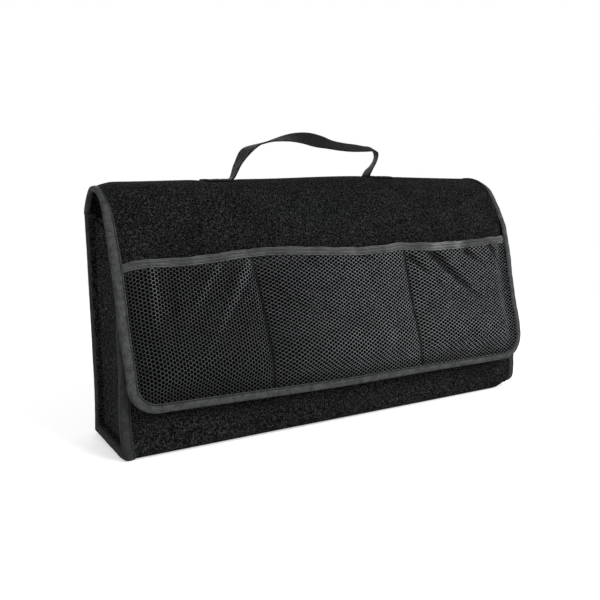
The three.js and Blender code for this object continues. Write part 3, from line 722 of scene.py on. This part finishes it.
def stitches(name, spots, ways, outs, body, size=(2.3 * MM, 0.45 * MM)):
    """A row of stitches: each is a small rounded bar of thread that lies on the cloth."""
    ways = unit(ways)
    outs = unit(outs - (outs * ways).sum(1)[:, None] * ways)
    sides = np.cross(ways, outs)
    length, thick = size
    ring = np.array([(math.cos(a), math.sin(a)) for a in np.linspace(0, 2 * math.pi, 7)[:-1]])
    along = np.array([-0.5, -0.32, 0, 0.32, 0.5])
    fat = np.array([0.25, 0.85, 1, 0.85, 0.25])
    sink = np.array([-0.9, -0.1, 0.15, -0.1, -0.9])
    points, faces, chart = [], [], []
    for spot, way, out, across in zip(spots, ways, outs, sides):
        bar = []
        for a, f, d in zip(along, fat, sink):
            for c, s in ring:
                aside = across * c * f + out * (s * f + d)
                bar.append(spot + way * a * length + aside * thick / 2)
                chart.append((c * thick, a * length))
        bar, bar_faces = tube(np.array(bar).reshape(len(along), len(ring), 3))
        faces += [[k + len(points) for k in face] for face in bar_faces]
        points.extend(bar)
    return make_piece(name, points, faces, chart, THREAD_LOOK, body)


def stitched_line(name, surface, x, along, height, body, **size):
    """Stitches that follow each other along a line on a surface."""
    spots = surface.place(x, along, height)
    outs = surface.place(x, along, height + 1 * MM) - spots
    return stitches(name, spots, np.gradient(spots, axis=0), outs, body, **size)


# %% Side seams
SEAM_TAPE = 9 * MM
STITCH_PITCH = 3.4 * MM


def seam_binding(side, name):
    lengths = np.linspace(0, bag.length, int(bag.length / (2.4 * MM)))
    sway = 1.1 * MM * np.sin(lengths * 37 + side) + 0.7 * MM * np.sin(lengths * 71)
    sway = sway * smooth(lengths, 0, 50 * MM) * smooth(bag.length - lengths, 0, 50 * MM)

    def move(inward, height, k):
        return bag.place(side * (bag_half(lengths[k]) - inward), lengths[k], height + sway[k] * 0.25)

    piece = folded_tape(name + "_tape", WEB_HEIGHT, 0, SEAM_TAPE, lengths, move, SEAM_LOOK, "bag")
    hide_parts(name)
    at = np.arange(6 * MM, bag.length - 4 * MM, STITCH_PITCH)
    x = side * (bag_half(at) - SEAM_TAPE + 2 * MM)
    above = 0.45 * MM
    spots = bag.place(x, at, above)
    ways = bag.place(x, at + 1 * MM, above) - spots
    outs = bag.place(x, at, above + 1 * MM) - spots
    stitches(name + "_stitches", spots, ways, outs, "bag")


for side, word in SIDES:
    seam_binding(side, f"seam_binding_{word}")


# %% [markdown]
# The net lies on the lid between the hem tape and the mouth tape. Two lines of stitches close it down
# and make three pockets. The pattern space below is the lid laid flat: across it, and up from the hem.
# %% The pockets' pattern
HEM_TAPE = 10 * MM
MOUTH_TAPE = 7.8 * MM
TAPE_LAYER = 0.9 * MM
NET_REST = 0.6 * MM
NET_THICK = 0.8 * MM
NET_FOOT = HEM_TAPE / 2
NET_HALF = LID_HALF - NET_FOOT
POCKET_DEPTH = 9 * MM
MOUTH_ABOUT = 143 * MM
SEAM_HEIGHT = 141 * MM
MOUTH_HEIGHTS = np.array([149, 152.7, 146.7, 150.2]) * MM
MOUTH_SAGS = np.array([4, 4.8, 5]) * MM
MOUTH_SKEWS = np.array([1, 1.8, 0.65])


def seam_lines(v):
    """Places of the two pocket seams and the net's sides, at a share of the net's height."""
    v = np.asarray(v, float)
    edge = np.full_like(v, NET_HALF)
    return np.stack([
        -edge,
        (-95 - 8 * np.abs(v) ** 3) * MM,
        (94.5 - 8 * np.sin(v * math.pi / 2)) * MM,
        edge,
    ])


def foot_line(across):
    past = np.maximum(np.abs(across) - (LID_HALF - HEM_RADIUS), 0)
    return HEM_RADIUS - np.sqrt(np.maximum((HEM_RADIUS - NET_FOOT) ** 2 - past**2, 0))


def from_edge(across, up):
    """Distance from a place on the lid to its edge."""
    past = np.abs(across) - (LID_HALF - HEM_RADIUS)
    plain = np.minimum(LID_HALF - np.abs(across), up)
    corner = HEM_RADIUS - np.hypot(past, HEM_RADIUS - up)
    return np.where((past < 0) | (up > HEM_RADIUS), plain, corner)


def across_pocket(across, v):
    """Which pocket a place is in, and its share across it, where v is its share of the net's height."""
    lines = seam_lines(v)
    pocket = (across > lines[1]).astype(int) + (across > lines[2])
    left, right = (np.take_along_axis(lines, pocket[None] + k, 0)[0] for k in (0, 1))
    return pocket, np.clip((across - left) / (right - left), 0, 1)


def pocket_of(across, up):
    """Which pocket a place is in, its share across it and its share of the net's height."""
    foot = foot_line(across)
    v = np.clip((up - foot) / (MOUTH_ABOUT - foot), 0, 1.05)
    for _ in range(3):
        pocket, u = across_pocket(across, v)
        v = np.clip((up - foot) / (mouth_line(pocket, u) - TAPE_LAYER - foot), 0, 1.1)
    return pocket, u, v


def mouth_line(pocket, u):
    start, end = MOUTH_HEIGHTS[pocket], MOUTH_HEIGHTS[pocket + 1]
    return start + (end - start) * u - MOUTH_SAGS[pocket] * np.sin(math.pi * u ** MOUTH_SKEWS[pocket])


# Creases and ridges of the slack net, in mm: across and up where each starts and ends, depth and width
CREASES = [
    (92, 130, 124, 98, 4.0, 4.6),
    (124, 98, 151, 79, 1.6, 5.5),
    (116, 135, 182, 74, 6.0, 6.4),
    (168, 132, 195, 116, 3.6, 5.2),
    (206, 138, 227, 110, 3.8, 4.8),
    (-41, 142, -29, 124, 2.6, 6.0),
    (20, 138, 44, 128, 2.4, 5.0),
    (-238, 128, -232, 30, 1.6, 7.0),
    (-190, 128, -200, 40, 1.8, 8.0),
    (-166, 128, -199, 88, 1.6, 6.5),
    (-128, 128, -150, 84, 2.0, 6.5),
    (-118, 108, -140, 70, 1.4, 8.0),
]
RIDGES = [
    (-210, 138, -211, 74, 2.0, 6.5),
    (-222, 134, -220, 112, 1.2, 4.0),
    (-143, 136, -190, 72, 1.7, 5.5),
    (-107, 138, -168, 46, 2.2, 6.5),
    (-141, 105, -182, 54, 1.0, 4.5),
    (-101, 146, -107, 16, 1.0, 2.2),
]


def folds(marks, across, up):
    """How far marks, soft lines in the slack net, move it."""
    move = np.zeros_like(across)
    for x, y, end_x, end_y, depth, wide in np.array(marks) * MM:
        way = np.array([end_x - x, end_y - y])
        t = np.clip(((across - x) * way[0] + (up - y) * way[1]) / (way @ way), 0, 1)
        off = np.hypot(across - x - t * way[0], up - y - t * way[1])
        line = bell(off, wide) - 0.35 * bell(off, 2 * wide)
        move += depth * (1 - 0.85 * t**1.5) * line
    return move


def stand_off(across, up):
    """How far the net's inner face stands off the lid."""
    pocket, u, v = pocket_of(across, up)
    free = smooth(from_edge(across, up) - HEM_TAPE, 5 * MM, 24 * MM)
    wide = 1 - np.abs(2 * u - 1) ** 5
    under_tape = TAPE_LAYER * smooth(v, 0.85, 0.95)
    slack = 0.5 * MM * np.sin(across * 180 + 1) * np.sin(up * 50 + 0.5)
    slack += folds(RIDGES, across, up) - folds(CREASES, across, up)
    return NET_REST + under_tape + (POCKET_DEPTH + slack) * free * wide


# %% [markdown]
# The net is knitted: strands meet in threes and leave round holes in staggered rows. A bump map
# can't show the felt through the holes or the joints standing up, so every mesh of the net is real:
# a six-sided cell with a round hole, whose rim is rounded and whose corners are the joints.
# %% Net meshes
NET_REACH = 160 * MM
MESH_WIDE = 6.2 * MM
MESH_HIGH = 3.9 * MM
JOINT_LONG = (0.95 * MM, 0.45 * MM, 0.4 * MM)
STRAND_LIFT = (0.09, 0.0, -0.01)
HOLE = 0.83
CORNER_GRID = 0.013 * MM


def gathered(across, up):
    """Cloth bunches at a seam: the pattern is drawn in towards both pocket seams."""
    for line in seam_lines(np.clip(up / SEAM_HEIGHT, 0, 1))[1:3]:
        off = across - line
        across = across - 3.2 * MM * (off / (7 * MM)) * bell(off, 7 * MM, 1)
    return across


def net_cells():
    """Middle of every mesh of the net in pattern space, and the pocket that it belongs to."""
    columns = int(LID_HALF / MESH_WIDE) + 1
    rows = np.arange(int(NET_REACH / MESH_HIGH * 2))
    j, i = np.meshgrid(rows, np.arange(-columns, columns + 1), indexing="ij")
    spots = np.stack([(i + 0.5 * (j % 2)) * MESH_WIDE, j * MESH_HIGH / 2], -1).reshape(-1, 2)
    across = gathered(spots[:, 0], spots[:, 1])
    pocket, u, _ = pocket_of(across, spots[:, 1])
    inside = from_edge(across, spots[:, 1]) > HEM_TAPE - 5 * MM
    inside &= spots[:, 1] < mouth_line(pocket, u) - 2.5 * MM
    return spots[inside], pocket[inside]


def add_shades(piece, tall, across, up):
    """A second chart: how near a place is to a joint's top, for the painted highlight, and the
    yarn's painted light and shade there.
    """
    joint = smooth(tall, -0.15 * MM, 0.3 * MM)
    lines = seam_lines(np.clip(up / SEAM_HEIGHT, 0, 1))
    to_seam = np.minimum(np.abs(across - lines[1]), np.abs(across - lines[2]))
    to_side = from_edge(across, up) - HEM_TAPE
    # Painted shade at the pocket seams, in the creases and towards the left; painted light on the
    # ridges.
    painted_brightness = 0.4 + 0.6 * smooth(to_seam, 0.8 * MM, 3.2 * MM)
    # Darker near the net's sides.
    painted_brightness *= 0.5 + 0.5 * smooth(to_side, 0, 14 * MM)
    painted_brightness *= 0.31 + 0.69 * smooth(across, -150 * MM, 60 * MM)
    painted_brightness *= 1 + 1.25 * smooth(folds(RIDGES, across, up), 0.1 * MM, 1.3 * MM)
    painted_brightness *= 1 - 0.7 * smooth(folds(CREASES, across, up), 0.1 * MM, 2.2 * MM)
    add_chart(piece.data, "shades", np.stack([joint, painted_brightness], 1))


def mesh_rings(near, strand_lift):
    """A cell's edge, the line half way in, the rim of its hole and its underside, each with heights.
    near is half the length of its joints: long ones make round holes, short ones flat holes."""
    far, high = MESH_WIDE / 2 - near, MESH_HIGH / 2
    corners = [[far, 0], [near, high], [-near, high], [-far, 0], [-near, -high], [near, -high]]
    edge = np.empty((12, 2))
    edge[0::2] = corners
    edge[1::2] = (corners + np.roll(corners, -1, axis=0)) / 2
    joint = np.tile([1.0, 0.0], 6)
    hole = edge * (HOLE + 0.04 * (1 - joint[:, None]))
    return [
        (edge, (strand_lift + (0.3 - strand_lift) * joint) * MM),
        ((edge + hole) / 2, (strand_lift - 0.04 + (0.24 - strand_lift) * joint) * MM),
        (hole, np.full(12, -0.1 * MM)),
        (edge, np.full(12, -0.3 * MM)),
    ]


def net_piece(name, cells, joint_long, strand_lift):
    rings = mesh_rings(joint_long, strand_lift)
    flat = np.concatenate([cells[:, None] + ring for ring, _ in rings], axis=1)
    tall = np.tile(np.concatenate([lift for _, lift in rings]), (len(cells), 1))
    layer = np.tile(np.repeat(np.arange(4), 12), (len(cells), 1))
    keys = np.column_stack([flat.reshape(-1, 2) / CORNER_GRID, layer.ravel()]).round().astype(int)
    _, first, where = np.unique(keys, axis=0, return_index=True, return_inverse=True)
    where = where.reshape(len(cells), 4, 12)
    flat, tall = flat.reshape(-1, 2)[first], tall.ravel()[first]
    rng = np.random.default_rng(SEED)
    flat = flat + rng.normal(0, 0.07 * MM, flat.shape)
    across = gathered(flat[:, 0], flat[:, 1])
    up = flat[:, 1]
    _, u, v = pocket_of(across, up)
    flattened = 1 - 0.6 * np.exp(-np.minimum(np.abs(u), np.abs(1 - u)) * 40)
    height = stand_off(across, up) + NET_THICK / 2 + tall * flattened
    points = lid.place(across, lid.length - up, height)
    after = (np.arange(12) + 1) % 12
    faces = []
    for a, b in ((0, 1), (1, 2), (2, 3)):
        near, far = where[:, a], where[:, b]
        quads = np.stack([near, near[:, after], far[:, after], far], -1)
        faces += quads.reshape(-1, 4).tolist()
    chart = np.stack([across, up], 1)
    piece = make_piece(name, points, faces, chart, NET_LOOK, "flap", sharp=180)
    add_shades(piece, tall, across, up)
    return piece


cells, pocket = net_cells()
nets = []
for k, name in enumerate(("left", "middle", "right")):
    nets.append(net_piece(f"net_{name}", cells[pocket == k], JOINT_LONG[k], STRAND_LIFT[k]))
for piece, wide in zip(nets, (145, 182, 152)):
    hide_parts("mesh_pocket_panel")
print("meshes in the net:", len(cells))


# %% [markdown]
# The tape on the pockets' mouths is paler and ribbed along its length. It is a little longer than
# the net that it holds, so its top edge waves, and it climbs over the net's slack.
# %% Mouth tape
def mouth_tape():
    reach = NET_HALF - HEM_TAPE / 2 + 1 * MM
    across = np.linspace(-reach, reach, 230)
    pocket, share = across_pocket(across, np.ones_like(across))
    top = mouth_line(pocket, share)
    wave = 0.25 * MM * np.sin(across * 190) + 0.12 * MM * np.sin(across * 497 + 1)
    lean = 0.4 * MM * np.sin(across * 160 + 2) * np.sin(across * 67)

    def move(inward, height, k):
        up = top[k] - inward + wave[k] * (1 - inward / (2 * MOUTH_TAPE))
        flat = stand_off(np.full_like(up, across[k]), np.minimum(up, top[k] - 1 * MM))
        return lid.place(across[k], lid.length - up, flat + height + lean[k] * (inward < 4 * MM))

    piece = folded_tape(
        "mouth_tape", 0, NET_THICK, MOUTH_TAPE, across, move, MOUTH_LOOK, "flap")
    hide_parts("pocket_top_binding")
    at = np.arange(-NET_HALF + 8 * MM, NET_HALF - 6 * MM, 3.1 * MM)
    k = np.clip(np.searchsorted(across, at), 0, len(across) - 1)
    up = top[k] - MOUTH_TAPE + 1.6 * MM
    height = stand_off(at, up) + NET_THICK + 0.75 * MM
    size = (2.1 * MM, 0.5 * MM)
    stitched_line("mouth_stitches", lid, at, lid.length - up, height, "flap", size=size)


mouth_tape()


# %% Pocket seams
def pocket_seam(number, name):
    top = MOUTH_HEIGHTS[number]
    up = np.arange(HEM_TAPE - 1 * MM, top - 2 * MM, 3.0 * MM)
    v = (up - NET_FOOT) / (top - TAPE_LAYER - NET_FOOT)
    across = seam_lines(np.clip(v, 0, 1))[number]
    height = NET_REST + NET_THICK + 0.35 * MM + (TAPE_LAYER + 0.5 * MM) * smooth(v, 0.9, 0.96)
    size = (2.4 * MM, 0.7 * MM)
    piece = stitched_line(name + "_stitches", lid, across, lid.length - up, height, "flap", size=size)
    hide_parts(name)


pocket_seam(1, "pocket_seam_left")
pocket_seam(2, "pocket_seam_right")


# %% [markdown]
# The lid's tape runs from the fold down one side, round the lower corners, along the hem and back up.
# Over the net it lies on top, so it climbs there.
# %% Lid binding
def lid_route():
    """Stations round the lid: edge point (across, along) and the way inwards."""
    start = lid.length - HEM_RADIUS
    inner = lid_half(start) - HEM_RADIUS
    left = [(-lid_half(along), along, 1, 0) for along in np.linspace(0, start, 150)]
    for turn in np.linspace(0, math.pi / 2, 18)[1:-1]:
        c, s = math.cos(turn), math.sin(turn)
        left.append((-inner - HEM_RADIUS * c, start + HEM_RADIUS * s, c, -s))
    hem = [(x, lid.length, 0, -1) for x in np.linspace(-inner, inner, 190)]
    right = [(-x, along, -in_x, in_s) for x, along, in_x, in_s in left[::-1]]
    return np.array([*left, *hem, *right], float)


def over_net(along):
    start = lid.length - MOUTH_HEIGHTS.max()
    onto = smooth(along, start - 24 * MM, start - 6 * MM)
    off = 1 - smooth(along, start + 30 * MM, start + 50 * MM)
    return onto * (NET_REST + NET_THICK + TAPE_LAYER * off)


def tape_leg(x, along):
    """The lid tape's width as a share: sewn narrower at the right, and drawn thin over the crest."""
    return between(0.86, 0.74, x) / MM * (0.5 + 0.5 * smooth(along, 60 * MM, 112 * MM))


def lid_binding():
    route = lid_route()
    lengths = lengths_along(route[:, :2])

    def move(inward, height, k):
        x, s, in_x, in_s = route[k]
        inward = np.where(inward > 0, inward * tape_leg(x, s), inward)
        along = s + in_s * inward
        lift = np.where(height > -FELT / 2, over_net(along), 0)
        return lid.place(x + in_x * inward, along, height + lift)

    piece = folded_tape("lid_tape", -FELT, 0, HEM_TAPE, lengths, move, TAPE_LOOK, None)
    bends_at_fold(piece)
    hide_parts("flap_binding")
    at = np.arange(6 * MM, lengths[-1] - 6 * MM, STITCH_PITCH)
    x, s, in_x, in_s = (np.interp(at, lengths, route[:, c]) for c in range(4))
    inward = (HEM_TAPE - 2 * MM) * tape_leg(x, s)
    along = s + in_s * inward
    height = over_net(along) + 0.5 * MM
    bends_at_fold(stitched_line("lid_tape_stitches", lid, x + in_x * inward, along, height, None))


lid_binding()


# %% [markdown]
# The tops of the gussets and of the front panel are bound too. They hide under the lid, apart from a
# short stretch at the left, and show when it opens.
# %% Bindings under the lid
TOP_TAPE = 8 * MM


def gusset_binding(side, name):
    low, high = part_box(name)
    places = np.linspace(low.y, high.y, 30)
    tops = gusset_top(places)
    web = side * (BAG_HALF - FIN_DEPTH - FELT / 2 - DRAWN_IN * np.linspace(1, 0, len(places)))

    def move(inward, height, k):
        along = np.full_like(inward, places[k])
        return np.stack([web[k] - height, along, tops[k] + 0.5 * MM - inward], -1)

    piece = folded_tape(name + "_tape", -FELT / 2, FELT / 2, TOP_TAPE, places, move, SEAM_LOOK, "bag")
    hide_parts(name)


def front_binding():
    half = bag_half(0) - FIN_DEPTH - FELT
    places = np.linspace(-half, half, 160)

    def move(inward, height, k):
        return bag.place(places[k], inward, height)

    piece = folded_tape("front_top_tape", -FELT, 0, TOP_TAPE, places, move, SEAM_LOOK, "bag")
    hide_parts("front_top_binding")


for side, word in SIDES:
    gusset_binding(side, f"gusset_top_binding_{word}")
front_binding()


# %% [markdown]
# The handle is one length of webbing. Its ends are sewn flat on the crest, and between them it stands
# up in an arch that twists, because webbing is stiff along its edges. A flat strip with a thick edge
# follows a smooth line, and its width turns a few degrees from place to place.
# %% Handle
HANDLE_WIDTH = 24 * MM
HANDLE_LEFT = -95 * MM
HANDLE_RIGHT = 83 * MM
HANDLE_TAB = 32 * MM
HANDLE_RISE = 50 * MM
CREST_MIDDLE = 254.5 * MM
TAB_REST = 0.2 * MM
HANDLE_IN = 15 * MM
# The arch, from the left end: mm along from an end of it, share of its rise and twist in degrees
ARCH = {
    HANDLE_LEFT: (
        (1, 0.12, -9), (9.5, 0.43, -4), (20, 0.71, 7), (31.5, 0.83, -2), (44, 0.89, -7),
        (56, 0.935, 3), (71.5, 0.98, 17), (87, 0.99, 32), (103, 0.96, 43), (119, 0.91, 39),
        (135, 0.84, 30), (152, 0.8, 25),
    ),
    HANDLE_RIGHT: (
        (-9, 0.785, 20), (2.5, 0.77, 15), (11.5, 0.73, 19), (14, 0.59, 24), (10, 0.41, 20),
        (3.5, 0.27, 12), (-0.5, 0.13, 9),
    ),
}


def crest_length():
    lengths = np.linspace(0, lid.length, 2000)
    spots = lid.place(0.0, lengths, 0.0)
    return lengths[spots[:, 1] - SHIFT < FOLD_BACK - HANDLE_IN][0]


HANDLE_ALONG = crest_length()


def on_crest(x, width):
    return lid.place(x, HANDLE_ALONG - width, TAB_REST + WEBBING / 2)


def smooth_line(points, count):
    """A smooth line through points, by centripetal Catmull-Rom pieces, as count points."""
    points = np.array(points, float)
    points = np.vstack([2 * points[0] - points[1], points, 2 * points[-1] - points[-2]])
    line = []
    for values in zip(points[:-3], points[1:-2], points[2:-1], points[3:]):
        gaps = [np.linalg.norm((b - a)[:3]) ** 0.5 for a, b in zip(values, values[1:])]
        knots = np.cumsum([0, *gaps])
        t = np.linspace(knots[1], knots[2], 24, endpoint=False)[:, None]
        for pairs in (((0, 1), (1, 2), (2, 3)), ((0, 2), (1, 3)), ((1, 2),)):
            values = [
                ((knots[b] - t) * low + (t - knots[a]) * high) / (knots[b] - knots[a])
                for (a, b), low, high in zip(pairs, values, values[1:])
            ]
        line.extend(values[0])
    return evenly(np.array([*line, points[-2]]), count)


def handle_route():
    """Points of the webbing's middle line, each with its twist in degrees."""
    def tab(x):
        return [*on_crest(x, 0), 0]

    left, right = HANDLE_LEFT, HANDLE_RIGHT
    route = [tab(left - HANDLE_TAB), tab(left - HANDLE_TAB / 2), tab(left - 4 * MM)]
    for end, rows in ARCH.items():
        for off, share, twist in rows:
            x = end + off * MM
            route.append([x, on_crest(x, 0)[1], CREST_MIDDLE + HANDLE_RISE * share, twist])
    return route + [tab(right + 4.5 * MM), tab(right + HANDLE_TAB / 2), tab(right + HANDLE_TAB)]


def strap_frames():
    line, lengths = smooth_line(handle_route(), 260)
    spots = line[:, :3]
    ways = unit(np.gradient(spots, axis=0))
    twist = np.radians(line[:, 3])[:, None]
    flat = unit(np.array([0.0, 1, 0]) - ways * ways[:, 1:2])
    wide = flat * np.cos(twist) + np.cross(ways, flat) * np.sin(twist)
    return spots, ways, wide, np.cross(ways, wide), lengths


def handle_strap():
    spots, ways, wide, thick, lengths = strap_frames()
    turn = np.linspace(0, 2 * math.pi, 37)[:-1]
    c, s = np.cos(turn), np.sin(turn)
    reach = np.sign(c) * np.abs(c) ** 0.35 * HANDLE_WIDTH / 2
    rise = np.sign(s) * np.abs(s) ** 0.6 * WEBBING / 2
    sections = []
    for spot, across, out in zip(spots, wide, thick):
        crest = on_crest(spot[0], 0)
        hugging = 1 - smooth(spot[2] - crest[2], 0.5 * MM, 12 * MM)
        bend = np.array([on_crest(spot[0], r) - crest - [0, r, 0] for r in reach])
        sections.append(spot + reach[:, None] * across + rise[:, None] * out + bend * hugging)
    points, faces = tube(np.array(sections))
    chart = [[(r, length) for r in reach] for length in lengths]
    piece = make_piece("handle_webbing", points, faces, chart, WEBBING_LOOK, "flap")
    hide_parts("handle_strap")


handle_strap()


# %% Stitches that hold the handle
def handle_stitches(name, start, end):
    wide = HANDLE_WIDTH / 2 - 3 * MM
    along = np.arange(start, end, 2.6 * MM)
    down = np.arange(-wide, wide, 2.6 * MM)
    flat = [(x, w, 1) for w in (-wide, wide) for x in along]
    flat += [(x, w, 0) for x in (start, end) for w in down]
    flat += [(start + (end - start) * t, -wide + 2 * wide * t, 1) for t in np.linspace(0, 1, 10)]
    height = TAB_REST + WEBBING + 0.1 * MM
    x, w, run = np.array(flat, float).T
    spots = lid.place(x, HANDLE_ALONG - w, height)
    outs = lid.place(x, HANDLE_ALONG - w, height + 1 * MM) - spots
    ways = np.stack([run, 1 - run, 0 * run], 1)
    piece = stitches(name + "_rows", spots, ways, outs, "flap")
    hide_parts(name)


handle_stitches("handle_stitching_left", HANDLE_LEFT - HANDLE_TAB + 4 * MM, HANDLE_LEFT - 8 * MM)
handle_stitches("handle_stitching_right", HANDLE_RIGHT + 8 * MM, HANDLE_RIGHT + HANDLE_TAB - 4 * MM)

# %% Hook strips keep their solids and get a finish
for strip in ("floor_hook_strip_front", "floor_hook_strip_back",
              "flap_hook_strip_left", "flap_hook_strip_right"):
    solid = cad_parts[strip]
    solid.data.materials.clear()
    solid.data.materials.append(HOOK_LOOK)

# %% [markdown]
# The photograph is a cut-out on white, lit softly from the front and above. A white floor and four
# large lamps give that light; the floor keeps the bag's shadow, and only the camera sees pure white
# behind it, so no extra light falls on the felt.
# %% Floor and light
FLOOR_REACH = 6.0


def studio_floor():
    mesh = bpy.data.meshes.new("floor")
    corners = [(-1, -1), (1, -1), (1, 1), (-1, 1)]
    mesh.from_pydata([(x * FLOOR_REACH, y * FLOOR_REACH, 0) for x, y in corners], [], [(0, 1, 2, 3)])
    floor = bpy.data.objects.new("floor", mesh)
    bpy.context.scene.collection.objects.link(floor)
    paper = Finish("white_paper", Roughness=0.9, Specular_IOR_Level=0.0)
    paper.shader.inputs["Base Color"].default_value = (0.86, 0.86, 0.86, 1)
    # Away from the bag the paper is seen as plain white; near it, it keeps the shadow
    plain = Wire(paper, paper.shader.outputs[0])
    seen = paper.add("ShaderNodeLightPath")
    far = paper.add("ShaderNodeVectorMath", {"operation": "LENGTH"}, (paper.spot(),), out=1)
    white = paper.add("ShaderNodeEmission", None, Strength=1.0)
    glow = paper.add("ShaderNodeEmission", None, Strength=0.5)
    lifted = paper.add("ShaderNodeAddShader", None, (plain, glow))
    near = paper.add("ShaderNodeMixShader", None, (seen, plain, lifted))
    pick = paper.add("ShaderNodeMixShader", None, (seen * far.above(0.45, 0.95), near, white))
    paper.feed(paper.tree.nodes["Material Output"].inputs[0], pick)
    mesh.materials.append(paper.material)


def white_world():
    world = bpy.data.worlds.new("studio")
    world.use_nodes = True
    tree = world.node_tree
    light, white = tree.nodes["Background"], tree.nodes.new("ShaderNodeBackground")
    for node, strength in ((light, 0.34), (white, 1.0)):
        node.inputs[0].default_value = (1, 1, 1, 1)
        node.inputs[1].default_value = strength
    seen = tree.nodes.new("ShaderNodeLightPath").outputs["Is Camera Ray"]
    mixed = tree.nodes.new("ShaderNodeMixShader")
    for socket, value in zip(mixed.inputs, (seen, light.outputs[0], white.outputs[0])):
        tree.links.new(value, socket)
    tree.links.new(mixed.outputs[0], tree.nodes["World Output"].inputs[0])
    bpy.context.scene.world = world


def lamp(name, place, power, size):
    data = bpy.data.lights.new(name, "AREA")
    data.energy = power
    data.size = size
    thing = bpy.data.objects.new(name, data)
    thing.location = place
    thing.rotation_euler = (-thing.location).to_track_quat("-Z", "Y").to_euler()
    bpy.context.scene.collection.objects.link(thing)


studio_floor()
white_world()
lamp("key", (0.9, -1.7, 1.4), 44, 1.2)
lamp("fill", (-1.7, -1.2, 0.9), 8, 1.5)
lamp("top", (0.1, 0.6, 2.0), 2.5, 1.4)
lamp("back", (0.3, 2.2, 1.2), 22, 1.5)

# %% [markdown]
# The camera stands where the photograph was taken from, found by fitting the bag's corners: 30
# degrees round to the left, a little above, with the horizon raised slightly in the frame.
# %% Camera
CAMERA_PLACE = (-0.4470, -0.7134, 0.2803)
CAMERA_YAW = math.radians(30.05)
CAMERA_PITCH = math.radians(8.66)
CAMERA_LENS = 45.97
CAMERA_SHIFT = -0.0394

view = bpy.data.cameras.new("view")
view.sensor_width = 36
view.lens = CAMERA_LENS
view.shift_y = CAMERA_SHIFT
camera = bpy.data.objects.new("view", view)
camera.location = CAMERA_PLACE
camera.rotation_euler = (math.pi / 2 - CAMERA_PITCH, 0, -CAMERA_YAW)
bpy.context.scene.collection.objects.link(camera)
bpy.context.scene.camera = camera
bpy.context.scene.view_settings.view_transform = "Standard"
